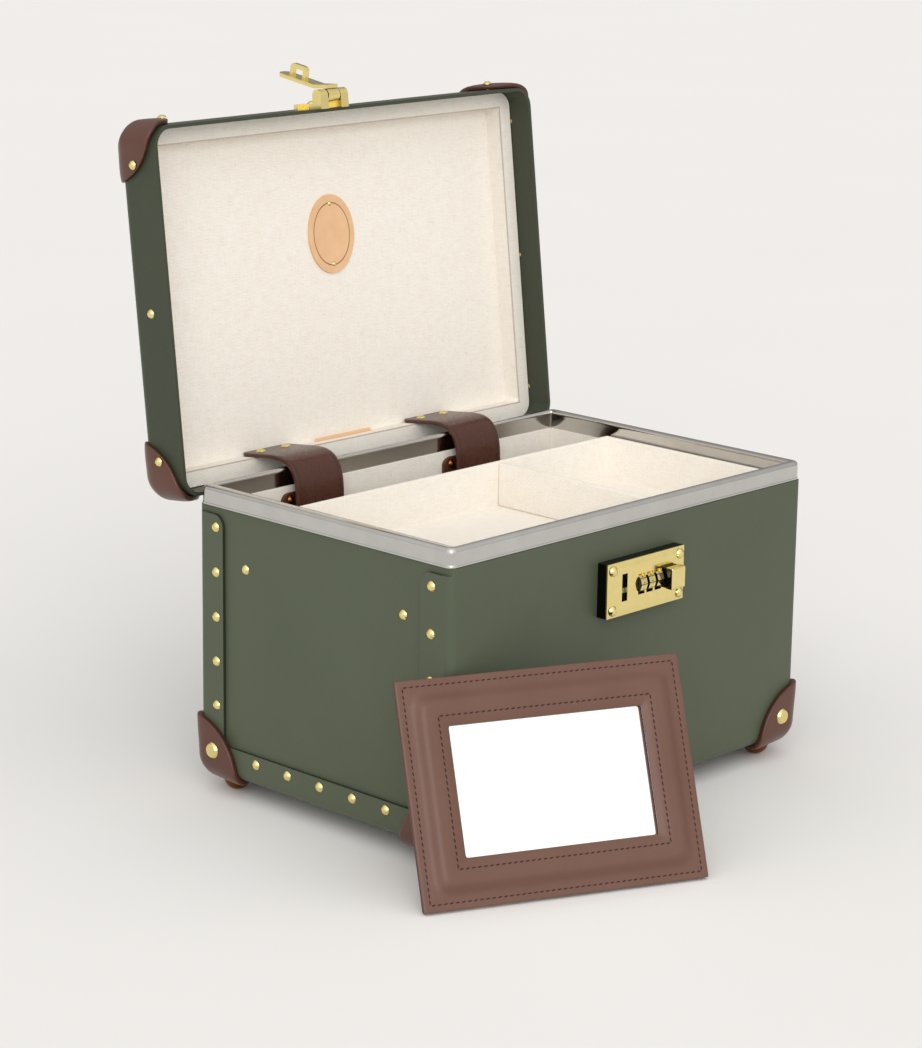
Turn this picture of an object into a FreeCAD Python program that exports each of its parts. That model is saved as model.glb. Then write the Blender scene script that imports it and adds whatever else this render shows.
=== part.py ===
import FreeCAD, Part
import math
import os

# Vanity case standing open: folded fibre body, hinged lid, lift-out tray, combination lock, loose mirror.
# Millimetres. X runs to the right, Y to the back and Z up, from the floor under the middle of the body.
# Heights below count from the body's underside, and each finished piece is lifted by the height of the feet.

V = FreeCAD.Vector
X_AXIS = V(1, 0, 0)
Y_AXIS = V(0, 1, 0)
Z_AXIS = V(0, 0, 1)

# Clearances
LAY = 0.05         # between sheets and pieces that lie on each other
RUN = 0.3          # between pieces that move past each other
RUNNING_FIT = 0.05  # radial play of a pin in its bore
CUT_PAST = 1.0     # by which a cut passes a surface

# Body of folded fibre sheet
BODY_W = 330.0
BODY_D = 220.5
BODY_H = 175.0
FIBRE_T = 2.2
FOLD_R = 6.0
LAP_FRONT = 25.0
LAP_BACK = 23.0
LAP_BOTTOM = 20.5
LAP_DROP = 4.6
LAP_CORNER_R = 8.0

# Small rivets
RIVET_R = 3.25
RIVET_H = 1.7
RIVET_FLAT_R = 0.8
RIVET_SHANK_R = 1.4
LAP_RIVET_INSET = 16.3
LAP_RIVET_TOP = 12.8
LAP_RIVET_LOW = 45.8
LAP_RIVET_ROWS = 5
BOTTOM_RIVET_Z = 14.8
BOTTOM_RIVET_INSET = 52.65
BOTTOM_RIVET_COUNT = 5

# Rolled rim round the mouth, on a wooden valance
RIM_T = 0.6
RIM_RISE = 12.3
RIM_BEAD_H = 3.6
RIM_INSET = 1.0
RIM_BEAD_OUT = 0.3
RIM_BEAD_IN = 0.4
RIM_BEAD_R = 1.7
RIM_CORNER_R = 5.0
RIM_INNER_CORNER_R = 1.5
RIM_TUCK = 6.0
VALANCE_T = 2.2
VALANCE_CORNER_R = 0.3
VALANCE_DROP = 18.0

# Linen-covered lining boards
LINING_T = 1.6
FLOOR_LINING_T = 2.0

# Leather corners, studs and feet of the body
LEATHER_T = 4.6
CORNER_ROUND_R = 16.0
CORNER_REACH = 38.0
STUD_INSET = 17.0
STUD_Z = 17.0
STUD_R = 5.3
STUD_H = 1.4
STUD_FLAT_R = 4.2
STUD_SHANK_R = 2.0
FOOT_R = 8.75
FOOT_H = 8.4
FOOT_FLAT_R = 3.0

# Lift-out tray and its ledges
TRAY_BACK_GAP = 59.25
TRAY_RISE = 3.5
TRAY_H = 33.0
TRAY_T = 3.0
DIVIDER_X = 45.7
DIVIDER_T = 4.4
DIVIDER_DROP = 1.0
TRAY_PLAY = 0.5
LEDGE_W = 8.0
LEDGE_H = 12.0
LEDGE_SHORT = 12.0
LEDGE_RIVET_INSET = 41.25

# Lid
LID_OVERHANG_X = 5.25
LID_OVERHANG_Y = 5.6
LID_OVERLAP = 4.4
LID_H = 36.5
LID_T = 2.2
LID_PLAN_R = 13.0
LID_EDGE_R = 8.0
LID_OPEN_DEG = 96.7
LID_CORNER_REACH = 34.5
LID_RIVET_H = 18.0
LID_RIVET_INSET = 23.0
LID_RIVET_R = 3.0
LID_LEATHER_T = 4.2

# Lid lining with its border frame and badge
LID_FRAME_H = 17.8
LID_FRAME_DEPTH = 12.5
LID_FRAME_W = 10.5
LID_FRAME_PLAY = 0.5
LID_FRAME_CORNER_R = 3.0
LID_PANEL_T = 2.4
LID_PANEL_TUCK = 5.0
NOTCH_W = 58.0
NOTCH_BOTTOM_W = 46.0
NOTCH_DEPTH = 3.0
NOTCH_H = 4.5
NOTCH_X = -3.0
BADGE_W = 41.0
BADGE_L = 52.0
BADGE_T = 1.4
BADGE_FORWARD = 32.15
BADGE_PIN_INSET = 6.0
BADGE_PIN_R = 1.6
BADGE_PIN_H = 0.9
BADGE_PIN_SHANK_R = 0.7

# Butt hinges on the back
HINGE_INSET = 67.0
HINGE_W = 50.0
HINGE_LEAF_T = 1.5
HINGE_BODY_LEAF_H = 26.0
HINGE_LID_LEAF_H = 20.0
HINGE_PIN_R = 1.4
HINGE_KNUCKLE_R = 2.6
HINGE_GAP = 0.38
HINGE_RISE = 3.35
HINGE_MIDDLE_L = 20.0
HINGE_RIVET_PITCH = 17.0

# Leather straps that hold the lid
STRAP_INSET = 91.0
STRAP_W = 41.0
STRAP_T = 2.5
STRAP_LOOP_DROP = 49.0
STRAP_LOOP_GAP = 4.0
STRAP_BEND_R = 8.0
STRAP_TAB_DROP = 4.0
STRAP_TAB_W = 54.0
STRAP_TAB_L = 30.0
STRAP_TAB_SPREAD = 19.5
STRAP_RIVET_DROP = 9.0
STRAP_RIVET_SPREAD = 11.0
STRAP_RIVET_H = 21.5
STRAP_END_R = 6.0

# Combination lock on the front
LOCK_W = 72.1
LOCK_H = 34.4
LOCK_DROP = 36.7
LOCK_PROUD = 8.75
LOCK_PLATE_T = 1.0
LOCK_BEVEL_W = 4.0
LOCK_BEVEL_T = 0.7
LOCK_WALL = 2.5
LOCK_BACK_T = 0.8
LOCK_SCREW_INSET = 4.7
LOCK_SCREW_R = 3.4
LOCK_SCREW_H = 2.0
LOCK_SCREW_SHANK_R = 1.4
LOCK_POST = 2.0
SLOT_X = -20.6
SLOT_W = 5.0
SLOT_H = 17.4
SLOT_RAISE = 0.5
DIAL_COUNT = 3
DIAL_FACETS = 10
DIAL_R = 6.6
DIAL_W = 5.5
DIAL_PITCH = 7.8
DIAL_X = 3.0
DIAL_PROUD = 2.8
DIAL_AXLE_R = 1.0
WINDOW_H = 13.2
CUP_H = 16.4
WEB_T = 1.5
WEB_H = 7.0
SPRING_T = 0.25
KNOB_X = 22.0
KNOB_W = 13.4
KNOB_H = 14.0
KNOB_PROUD = 7.5
KNOB_BASE_T = 2.4
KNOB_BASE_INSET = 0.6
KNOB_EDGE_R = 1.2
KNOB_TRAVEL = 5.0
STEM_OFFSET = 2.0
STEM_W = 5.0
STEM_H = 8.0
BOLT_T = 1.4
BOLT_BAR_H = 2.1
BOLT_TIP_H = 3.0
BOLT_TIP_PAST = 1.7
BOLT_RISER_W = 2.8

# Hasp on the lid front
HASP_X = SLOT_X
HASP_BASE_W = 24.4
HASP_BASE_H = 15.5
HASP_BASE_T = 3.7
HASP_WING_W = 4.8
HASP_WING_RISE = 11.6
HASP_RIVET_INSET = 4.2
HASP_RIVET_RISE = 8.0
HASP_PIN_DROP = 1.5
HASP_PIN_OUT = 8.6
HASP_PIN_R = 1.5
HASP_KNUCKLE_R = 4.0
HASP_BARREL_R = 4.2
HASP_ARM_W = 10.6
HASP_ARM_T = 2.4
HASP_ARM_L = 46.0
HASP_ARM_PAST = 1.8
HASP_TIP_R = 4.6
HASP_TIP_GAP = 0.4
HASP_CRANK_AT = 10.4
HASP_CRANK_R = 4.0
HASP_CRANK_DEG = 12.5
HASP_TILT_DEG = 15.5
STAPLE_AT = 30.3
STAPLE_L = 15.0
STAPLE_REACH = 8.2
STAPLE_STOCK = 3.0

# Carrying handle on the lid top
HANDLE_SPAN = 128.0
HANDLE_RISE = 30.0
HANDLE_W = 15.0
HANDLE_T = 8.0
HANDLE_BEND_R = 18.0
HANDLE_EDGE_R = 2.0
HANDLE_PIVOT_H = 9.5
HANDLE_PIN_R = 2.2
HANDLE_EAR_T = 5.0
HANDLE_EAR_R = 5.0
HANDLE_PLATE_L = 26.0
HANDLE_PLATE_W = 24.0
HANDLE_PLATE_T = 1.6
HANDLE_RIVET_INSET = 5.0
HANDLE_EYE_R = 5.5

# Loose mirror leaning on the front left edge
MIRROR_W = 180.0
MIRROR_H = 134.5
MIRROR_BORDER = 29.0
MIRROR_BASE_T = 2.4
MIRROR_CROWN_T = 3.0
MIRROR_CROWN_R = 2.6
MIRROR_MARGIN = 5.0
MIRROR_LIP = 6.5
MIRROR_BACK_T = 2.4
MIRROR_GLASS_T = 1.6
MIRROR_GLASS_LAP = 3.5
MIRROR_CORNER_R = 3.0
MIRROR_YAW_DEG = -25.0
MIRROR_LEAN_DEG = 23.7
MIRROR_LEFT_OF_EDGE = 38.3

# Worked-out levels and faces
FRONT_Y = -BODY_D / 2
BACK_Y = BODY_D / 2
RIM_W = 2 * RIM_T + VALANCE_T + 2 * LAY
RIM_X = BODY_W / 2 - 2 * FIBRE_T - 2 * LAY
RIM_Y = BODY_D / 2 - FIBRE_T - LAY
RIM_TOP = BODY_H + RIM_RISE
LINING_IN = RIM_T + VALANCE_T + 2 * LAY
LINING_X = RIM_X - LINING_IN - LINING_T
LINING_Y = RIM_Y - LINING_IN - LINING_T
FLOOR_Z = -LEATHER_T - FOOT_H
LINING_FLOOR_Z = FIBRE_T + LAY + FLOOR_LINING_T
LID_W = BODY_W + 2 * LID_OVERHANG_X
LID_D = BODY_D + 2 * LID_OVERHANG_Y
LID_LOW = BODY_H - LID_OVERLAP
LID_TOP_Z = LID_LOW + LID_H
HINGE_BACK = HINGE_KNUCKLE_R + HINGE_GAP
HINGE_Y = LID_D / 2 + HINGE_BACK
HINGE_Z = LID_LOW + HINGE_RISE
LOCK_Z = BODY_H - LOCK_DROP
LOCK_FACE_Y = FRONT_Y - LOCK_PROUD
LOCK_INNER_Y = LOCK_FACE_Y + LOCK_BEVEL_T + LOCK_PLATE_T
TRAY_X = LINING_X - TRAY_PLAY
TRAY_TOP_Z = BODY_H + TRAY_RISE
TRAY_BACK_Y = BACK_Y - TRAY_BACK_GAP
TRAY_FRONT_Y = -LINING_Y + TRAY_PLAY
TRAY_BOTTOM_Z = TRAY_TOP_Z - TRAY_H


def block(x0, x1, y0, y1, z0, z1):
    return Part.makeBox(x1 - x0, y1 - y0, z1 - z0, V(x0, y0, z0))


def span(side, near, far):
    """The low and high ends of a stretch that lies on the left (-1) or right (1) side."""
    return sorted((side * near, side * far))


def rod(radius, start, direction, length):
    return Part.makeCylinder(radius, length, start, direction)


def edge_runs(edge, axis):
    """True for a straight edge along axis."""
    if len(edge.Vertexes) < 2:
        return False
    run = edge.Vertexes[1].Point - edge.Vertexes[0].Point
    return run.Length > 1e-6 and abs(run.dot(axis)) > 0.9999 * run.Length


def edge_at(edge, axis, level):
    """True for an edge that lies in the plane at level along axis."""
    return all(abs(v.Point.dot(axis) - level) < 1e-6 for v in edge.Vertexes)


def round_edges(shape, radius, test):
    return shape.makeFillet(radius, [edge for edge in shape.Edges if test(edge)])


def plan_block(x_half, y_half, radius, z0, z1):
    """An upright slab with rounded corners in plan, centred on the origin."""
    shape = block(-x_half, x_half, -y_half, y_half, z0, z1)
    return round_edges(shape, radius, lambda edge: edge_runs(edge, Z_AXIS))


def plan_ring(x_half, y_half, radius, width, inner_radius, z0, z1):
    """A frame of the given width inside a rounded outline."""
    hole = plan_block(x_half - width, y_half - width, inner_radius, z0 - CUT_PAST, z1 + CUT_PAST)
    return plan_block(x_half, y_half, radius, z0, z1).cut(hole)


def headed_pin(at, direction, head_r, head_h, flat_r, shank_r, shank_l):
    """A domed head standing on the point at, with its shank running back against direction."""
    centre = (flat_r ** 2 + head_h ** 2 - head_r ** 2) / (2 * head_h)
    ball_r = math.hypot(head_r, centre)
    low = math.atan2(-centre, head_r)
    high = math.atan2(head_h - centre, flat_r)
    middle = (low + high) / 2
    on_arc = V(ball_r * math.cos(middle), 0, centre + ball_r * math.sin(middle))
    rim, crown = V(head_r, 0, 0), V(flat_r, 0, head_h)
    outline = [V(0, 0, head_h), V(0, 0, -shank_l), V(shank_r, 0, -shank_l), V(shank_r, 0, 0), rim]
    edges = [Part.makeLine(a, b) for a, b in zip(outline, outline[1:])]
    edges.append(Part.Arc(rim, on_arc, crown).toShape())
    edges.append(Part.makeLine(crown, outline[0]))
    pin = Part.Face(Part.Wire(edges)).revolve(V(0, 0, 0), Z_AXIS, 360)
    pin.Placement = FreeCAD.Placement(at, FreeCAD.Rotation(Z_AXIS, direction))
    return pin


def small_rivet(at, direction, shank_l, head_r=RIVET_R):
    return headed_pin(at, direction, head_r, RIVET_H, RIVET_FLAT_R, RIVET_SHANK_R, shank_l)


def shank_hole(at, direction, shank_r, length):
    """The hole that a shank going back from at needs."""
    return rod(shank_r + LAY, at, direction * -1, length)


def strip_face(points, bends, thickness, to_point):
    """A band of even thickness along a bent centre line given in two coordinates, as a flat face."""
    def unit(a, b):
        length = math.hypot(b[0] - a[0], b[1] - a[1])
        return (b[0] - a[0]) / length, (b[1] - a[1]) / length

    def side_edges(offset):
        runs = []
        first = unit(points[0], points[1])
        start = (points[0][0] - offset * first[1], points[0][1] + offset * first[0])
        for before, here, after, bend in zip(points, points[1:], points[2:], bends):
            d1, d2 = unit(before, here), unit(here, after)
            cross = d1[0] * d2[1] - d1[1] * d2[0]
            turn = math.copysign(1, cross)
            half = math.acos(max(-1, min(1, d1[0] * d2[0] + d1[1] * d2[1]))) / 2
            back = bend * math.tan(half)
            enter = (here[0] - back * d1[0], here[1] - back * d1[1])
            centre = (enter[0] - turn * bend * d1[1], enter[1] + turn * bend * d1[0])
            radius = bend - turn * offset
            spokes = []
            for share in (0, half, 2 * half):
                angle = math.atan2(d1[1], d1[0]) + turn * (share - math.pi / 2)
                spokes.append((centre[0] + radius * math.cos(angle), centre[1] + radius * math.sin(angle)))
            runs.append(Part.makeLine(to_point(*start), to_point(*spokes[0])))
            runs.append(Part.Arc(*[to_point(*spoke) for spoke in spokes]).toShape())
            start = spokes[2]
        last = unit(points[-2], points[-1])
        end = (points[-1][0] - offset * last[1], points[-1][1] + offset * last[0])
        runs.append(Part.makeLine(to_point(*start), to_point(*end)))
        return runs

    left, right = side_edges(thickness / 2), side_edges(-thickness / 2)
    ends = [
        Part.makeLine(left[0].Vertexes[0].Point, right[0].Vertexes[0].Point),
        Part.makeLine(left[-1].Vertexes[-1].Point, right[-1].Vertexes[-1].Point),
    ]
    return Part.Face(Part.Wire(Part.__sortEdges__(left + right + ends)))


def to_corner(shape, side, end):
    """Mirrors a piece of the back left corner to another corner."""
    if side > 0:
        shape = shape.mirror(V(0, 0, 0), X_AXIS)
    if end < 0:
        shape = shape.mirror(V(0, 0, 0), Y_AXIS)
    return shape


def opened(shape):
    """Swings a lid piece from the closed lid to the open one."""
    return shape.rotated(V(0, HINGE_Y, HINGE_Z), X_AXIS, -LID_OPEN_DEG)


def save(name, shapes):
    """Writes a piece, or a group of like pieces, standing on its feet."""
    group = shapes if isinstance(shapes, list) else [shapes]
    solids = [solid for shape in group for solid in shape.Solids]
    out = solids[0] if len(solids) == 1 else Part.makeCompound(solids)
    out.translated(V(0, 0, -FLOOR_Z)).exportStep("parts/" + name + ".step")


os.makedirs("parts", exist_ok=True)
SIDES = {"left": -1, "right": 1}
ENDS = {"front": -1, "back": 1}


# Body: wrap folded from one sheet, with laps on both side panels
def corner_block(grow, z_top, radius):
    """The body's outline grown by an amount at the sides and below, with all folds rounded."""
    shape = block(-BODY_W / 2 - grow, BODY_W / 2 + grow, FRONT_Y - grow, BACK_Y + grow, -grow, z_top)
    return round_edges(
        shape, radius, lambda edge: edge_runs(edge, Z_AXIS) or edge_at(edge, Z_AXIS, -grow)
    )


body_outside = corner_block(0, BODY_H, FOLD_R)
wrap = body_outside.cut(corner_block(-FIBRE_T, BODY_H + CUT_PAST, FOLD_R - FIBRE_T))
lap_top = BODY_H - LAP_DROP
for side in SIDES.values():
    x0, x1 = span(side, BODY_W / 2 - FIBRE_T, BODY_W / 2 + CUT_PAST)
    window = block(x0, x1, FRONT_Y + LAP_FRONT, BACK_Y - LAP_BACK, LAP_BOTTOM, BODY_H + CUT_PAST)
    strip = block(x0, x1, FRONT_Y - CUT_PAST, BACK_Y + CUT_PAST, lap_top, BODY_H + CUT_PAST)
    wrap = wrap.cut(window.fuse(strip))
wrap = round_edges(
    wrap,
    LAP_CORNER_R,
    lambda edge: edge_runs(edge, X_AXIS)
    and edge_at(edge, Z_AXIS, lap_top)
    and (edge_at(edge, Y_AXIS, FRONT_Y + LAP_FRONT) or edge_at(edge, Y_AXIS, BACK_Y - LAP_BACK)),
)
panel_room = corner_block(-FIBRE_T - LAY, BODY_H, FOLD_R - FIBRE_T - LAY)
panel_x = BODY_W / 2 - FIBRE_T - LAY
panels = {}
for name, side in SIDES.items():
    x0, x1 = span(side, panel_x - FIBRE_T, panel_x)
    panels[name] = panel_room.common(block(x0, x1, FRONT_Y, BACK_Y, 0, BODY_H))

# Rivets through the laps
lap_rivets = []
lap_shank = 2 * FIBRE_T + LAY
lap_column_y = BODY_D / 2 - LAP_RIVET_INSET
lap_pitch = (BODY_H - LAP_RIVET_TOP - LAP_RIVET_LOW) / (LAP_RIVET_ROWS - 1)
bottom_half = BODY_D / 2 - BOTTOM_RIVET_INSET
bottom_pitch = 2 * bottom_half / (BOTTOM_RIVET_COUNT - 1)
for name, side in SIDES.items():
    spots = [
        (end * lap_column_y, LAP_RIVET_LOW + row * lap_pitch)
        for end in ENDS.values()
        for row in range(LAP_RIVET_ROWS)
    ]
    spots += [(k * bottom_pitch - bottom_half, BOTTOM_RIVET_Z) for k in range(BOTTOM_RIVET_COUNT)]
    for y, z in spots:
        at, out = V(side * BODY_W / 2, y, z), V(side, 0, 0)
        lap_rivets.append(small_rivet(at, out, lap_shank))
        hole = shank_hole(at, out, RIVET_SHANK_R, lap_shank)
        wrap = wrap.cut(hole)
        panels[name] = panels[name].cut(hole)

# Leather corners, with studs on their upright lobes and a foot under each
leather_skin = corner_block(LEATHER_T, BODY_H, CORNER_ROUND_R).cut(body_outside)
studs, feet = [], []
stud_shank = LEATHER_T + FIBRE_T
corner_ball = Part.makeSphere(CORNER_REACH, V(-BODY_W / 2, BODY_D / 2, 0), V(1, -1, 1))
back_left_corner = leather_skin.common(corner_ball)
for end_name, end in ENDS.items():
    for side_name, side in SIDES.items():
        corner = to_corner(back_left_corner, side, end)
        stud_x = side * (BODY_W / 2 - STUD_INSET)
        stud_y = end * (BODY_D / 2 - STUD_INSET)
        holders = [
            (V(side * (BODY_W / 2 + LEATHER_T), stud_y, STUD_Z), V(side, 0, 0)),
            (V(stud_x, end * (BODY_D / 2 + LEATHER_T), STUD_Z), V(0, end, 0)),
        ]
        for at, out in holders:
            studs.append(headed_pin(at, out, STUD_R, STUD_H, STUD_FLAT_R, STUD_SHANK_R, stud_shank))
        sole = (V(stud_x, stud_y, -LEATHER_T), Z_AXIS * -1)
        feet.append(headed_pin(*sole, FOOT_R, FOOT_H, FOOT_FLAT_R, STUD_SHANK_R, stud_shank))
        for at, out in holders + [sole]:
            hole = shank_hole(at, out, STUD_SHANK_R, stud_shank)
            corner = corner.cut(hole)
            wrap = wrap.cut(hole)
        save(f"leather_corner_{end_name}_{side_name}", corner)
save("corner_studs", studs)
save("feet", feet)
save("lap_rivets", lap_rivets)

# Rim: a channel with a rolled top, over the wooden valance that it clips on
bead_z = RIM_TOP - RIM_BEAD_H
tuck_z = BODY_H - RIM_TUCK
channel = plan_ring(RIM_X, RIM_Y, RIM_CORNER_R, RIM_W, RIM_INNER_CORNER_R, tuck_z, bead_z + LAY)
band_x, band_y = BODY_W / 2 - RIM_INSET, BODY_D / 2 - RIM_INSET
band_in_r = RIM_CORNER_R - RIM_T
band = plan_block(band_x, band_y, RIM_CORNER_R, BODY_H + LAY, bead_z + LAY)
band = band.cut(plan_block(RIM_X - LAY, RIM_Y - LAY, band_in_r, BODY_H, bead_z + CUT_PAST))
groove_x, groove_y = RIM_X - RIM_T, RIM_Y - RIM_T
groove_w = VALANCE_T + 2 * LAY
groove_r = band_in_r
groove = plan_ring(
    groove_x, groove_y, groove_r, groove_w, RIM_INNER_CORNER_R + RIM_T, tuck_z - CUT_PAST, bead_z
)
below_skirt = plan_block(
    groove_x - VALANCE_T, groove_y - VALANCE_T, RIM_INNER_CORNER_R, tuck_z - CUT_PAST, BODY_H
)
bead = plan_block(band_x + RIM_BEAD_OUT, band_y + RIM_BEAD_OUT, RIM_CORNER_R, bead_z, RIM_TOP)
mouth_x, mouth_y = RIM_X - RIM_W - RIM_BEAD_IN, RIM_Y - RIM_W - RIM_BEAD_IN
bead = bead.cut(plan_block(mouth_x, mouth_y, RIM_INNER_CORNER_R, bead_z - CUT_PAST, RIM_TOP + CUT_PAST))
bead = round_edges(
    bead, RIM_BEAD_R, lambda edge: edge_at(edge, Z_AXIS, bead_z) or edge_at(edge, Z_AXIS, RIM_TOP)
)
save("rim", channel.cut(groove).cut(below_skirt).fuse([band, bead]).removeSplitter())
valance = plan_ring(
    groove_x - LAY,
    groove_y - LAY,
    groove_r - LAY,
    VALANCE_T,
    VALANCE_CORNER_R,
    BODY_H - VALANCE_DROP,
    bead_z - LAY,
)
save("valance_frame", valance)

# Lining boards on the four walls and the floor
lining_out_x, lining_out_y = LINING_X + LINING_T, LINING_Y + LINING_T
lining_top = BODY_H - LAY
linings = {
    "front": block(-LINING_X, LINING_X, -lining_out_y, -LINING_Y, LINING_FLOOR_Z, lining_top),
    "back": block(-LINING_X, LINING_X, LINING_Y, lining_out_y, LINING_FLOOR_Z, lining_top),
}
for name, side in SIDES.items():
    x0, x1 = span(side, LINING_X + LAY, lining_out_x)
    side_half = lining_out_y - VALANCE_CORNER_R
    linings[name] = block(x0, x1, -side_half, side_half, LINING_FLOOR_Z, lining_top)
floor_half = BODY_W / 2 - FOLD_R
floor_lining = block(
    -floor_half, floor_half, FRONT_Y + FOLD_R, BACK_Y - FOLD_R, FIBRE_T + LAY, LINING_FLOOR_Z - LAY
)
save("lining_floor", floor_lining)

# Ledges that carry the tray, riveted through the side walls
ledge_rivets = []
ledge_top = TRAY_BOTTOM_Z - RUN
ledge_z = ledge_top - LEDGE_H / 2
ledge_x = LINING_X
ledge_shank = panel_x - ledge_x + LEDGE_W / 2
for name, side in SIDES.items():
    x0, x1 = span(side, ledge_x - LEDGE_W, ledge_x)
    ledge = block(x0, x1, TRAY_FRONT_Y + LEDGE_SHORT, LINING_Y - LEDGE_SHORT, ledge_top - LEDGE_H, ledge_top)
    for end in ENDS.values():
        at, out = V(side * panel_x, end * (BODY_D / 2 - LEDGE_RIVET_INSET), ledge_z), V(side, 0, 0)
        ledge_rivets.append(small_rivet(at, out, ledge_shank))
        hole = shank_hole(at, out, RIVET_SHANK_R, ledge_shank)
        ledge = ledge.cut(hole)
        panels[name] = panels[name].cut(hole)
        linings[name] = linings[name].cut(hole)
    save(f"tray_ledge_{name}", ledge)
    save(f"side_panel_{name}", panels[name])
    save(f"lining_{name}", linings[name])
save("ledge_rivets", ledge_rivets)
save("lining_front", linings["front"])

# Tray: five glued boards covered with linen, and one divider
tray_in_front, tray_in_back = TRAY_FRONT_Y + TRAY_T, TRAY_BACK_Y - TRAY_T
tray_floor_z = TRAY_BOTTOM_Z + TRAY_T
tray_boards = [
    block(-TRAY_X, TRAY_X, TRAY_FRONT_Y, TRAY_BACK_Y, TRAY_BOTTOM_Z, tray_floor_z),
    block(-TRAY_X, TRAY_X, TRAY_FRONT_Y, tray_in_front, tray_floor_z, TRAY_TOP_Z),
    block(-TRAY_X, TRAY_X, tray_in_back, TRAY_BACK_Y, tray_floor_z, TRAY_TOP_Z),
]
for side in SIDES.values():
    x0, x1 = span(side, TRAY_X - TRAY_T, TRAY_X)
    tray_boards.append(block(x0, x1, tray_in_front, tray_in_back, tray_floor_z, TRAY_TOP_Z))
save("tray", tray_boards)
divider = block(
    DIVIDER_X - DIVIDER_T / 2,
    DIVIDER_X + DIVIDER_T / 2,
    tray_in_front + LAY,
    tray_in_back - LAY,
    tray_floor_z + LAY,
    TRAY_TOP_Z - DIVIDER_DROP,
)
save("tray_divider", divider)

# Lock case behind the plate, with a cup through the wall for the dials
lock_low, lock_high = LOCK_Z - LOCK_H / 2, LOCK_Z + LOCK_H / 2
dial_y = LOCK_FACE_Y - DIAL_PROUD + DIAL_R
dials_half = ((DIAL_COUNT - 1) * DIAL_PITCH + DIAL_W) / 2
web_near = dials_half + RUN
web_far = web_near + WEB_T
cup_back = dial_y + DIAL_R + RUN + SPRING_T + LOCK_BACK_T
cup_x0, cup_x1 = DIAL_X - web_far - LOCK_BACK_T, DIAL_X + web_far + LOCK_BACK_T
lock_case = block(-LOCK_W / 2, LOCK_W / 2, LOCK_INNER_Y + LAY, FRONT_Y, lock_low, lock_high)
room_x, room_z = LOCK_W / 2 - LOCK_WALL, LOCK_H / 2 - LOCK_WALL
lock_case = lock_case.cut(
    block(-room_x, room_x, LOCK_INNER_Y, FRONT_Y + CUT_PAST, LOCK_Z - room_z, LOCK_Z + room_z)
)
back_plate = block(cup_x0, room_x + LAY, FRONT_Y - LOCK_BACK_T, FRONT_Y, LOCK_Z - room_z, LOCK_Z + room_z)
cup = block(cup_x0, cup_x1, FRONT_Y - LOCK_BACK_T, cup_back, LOCK_Z - CUP_H / 2, LOCK_Z + CUP_H / 2)
cup_room = block(
    cup_x0 + LOCK_BACK_T,
    cup_x1 - LOCK_BACK_T,
    LOCK_INNER_Y,
    cup_back - LOCK_BACK_T,
    LOCK_Z - CUP_H / 2 + LOCK_BACK_T,
    LOCK_Z + CUP_H / 2 - LOCK_BACK_T,
)
lock_case = lock_case.fuse([back_plate, cup]).cut(cup_room)
axle_x0, axle_l = DIAL_X - web_far, 2 * web_far
axle_line = V(axle_x0, dial_y, LOCK_Z)
for side in SIDES.values():
    x0, x1 = sorted((DIAL_X + side * web_near, DIAL_X + side * web_far))
    web = block(x0, x1, LOCK_INNER_Y + RUN, FRONT_Y, LOCK_Z - WEB_H / 2, LOCK_Z + WEB_H / 2)
    lock_case = lock_case.fuse(web)
lock_case = lock_case.cut(rod(DIAL_AXLE_R + RUNNING_FIT, axle_line, X_AXIS, axle_l))
save("dial_axle", rod(DIAL_AXLE_R, axle_line, X_AXIS, axle_l))
spring_y = cup_back - LOCK_BACK_T
spring_x0, spring_x1 = DIAL_X - dials_half, DIAL_X + dials_half
spring = block(spring_x0, spring_x1, spring_y - SPRING_T, spring_y, LOCK_Z - WEB_H / 2, LOCK_Z + WEB_H / 2)
save("dial_spring", spring)
gap_half = CUP_H / 2 + RUN
wrap_in_y = FRONT_Y + FIBRE_T + CUT_PAST
cup_gap = block(
    cup_x0 - RUN, cup_x1 + RUN, FRONT_Y - CUT_PAST, wrap_in_y, LOCK_Z - gap_half, LOCK_Z + gap_half
)
wrap = wrap.cut(cup_gap)

# Brass lock plate with a bevelled border, a slot for the staple and windows for the dials
plate = block(-LOCK_W / 2, LOCK_W / 2, LOCK_FACE_Y + LOCK_BEVEL_T, LOCK_INNER_Y, lock_low, lock_high)


def plate_outline(inset, y):
    x, z0, z1 = LOCK_W / 2 - inset, lock_low + inset, lock_high - inset
    return Part.makePolygon([V(-x, y, z0), V(x, y, z0), V(x, y, z1), V(-x, y, z1), V(-x, y, z0)])


bevel = Part.makeLoft(
    [plate_outline(0, LOCK_FACE_Y + LOCK_BEVEL_T), plate_outline(LOCK_BEVEL_W, LOCK_FACE_Y)], True, True
)
plate = plate.fuse(bevel).removeSplitter()
slot_z = LOCK_Z + SLOT_RAISE
plate_y0, plate_y1 = LOCK_FACE_Y - CUT_PAST, LOCK_INNER_Y + CUT_PAST
slot_x0, slot_x1 = SLOT_X - SLOT_W / 2, SLOT_X + SLOT_W / 2
plate = plate.cut(block(slot_x0, slot_x1, plate_y0, plate_y1, slot_z - SLOT_H / 2, slot_z + SLOT_H / 2))
STEM_X = KNOB_X - STEM_OFFSET
stem_gap_x0 = STEM_X - STEM_W / 2 - RUN
stem_gap_x1 = STEM_X + STEM_W / 2 + KNOB_TRAVEL + RUN
stem_gap_z = STEM_H / 2 + RUN
stem_gap_low, stem_gap_high = LOCK_Z - stem_gap_z, LOCK_Z + stem_gap_z
plate = plate.cut(block(stem_gap_x0, stem_gap_x1, plate_y0, plate_y1, stem_gap_low, stem_gap_high))
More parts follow.
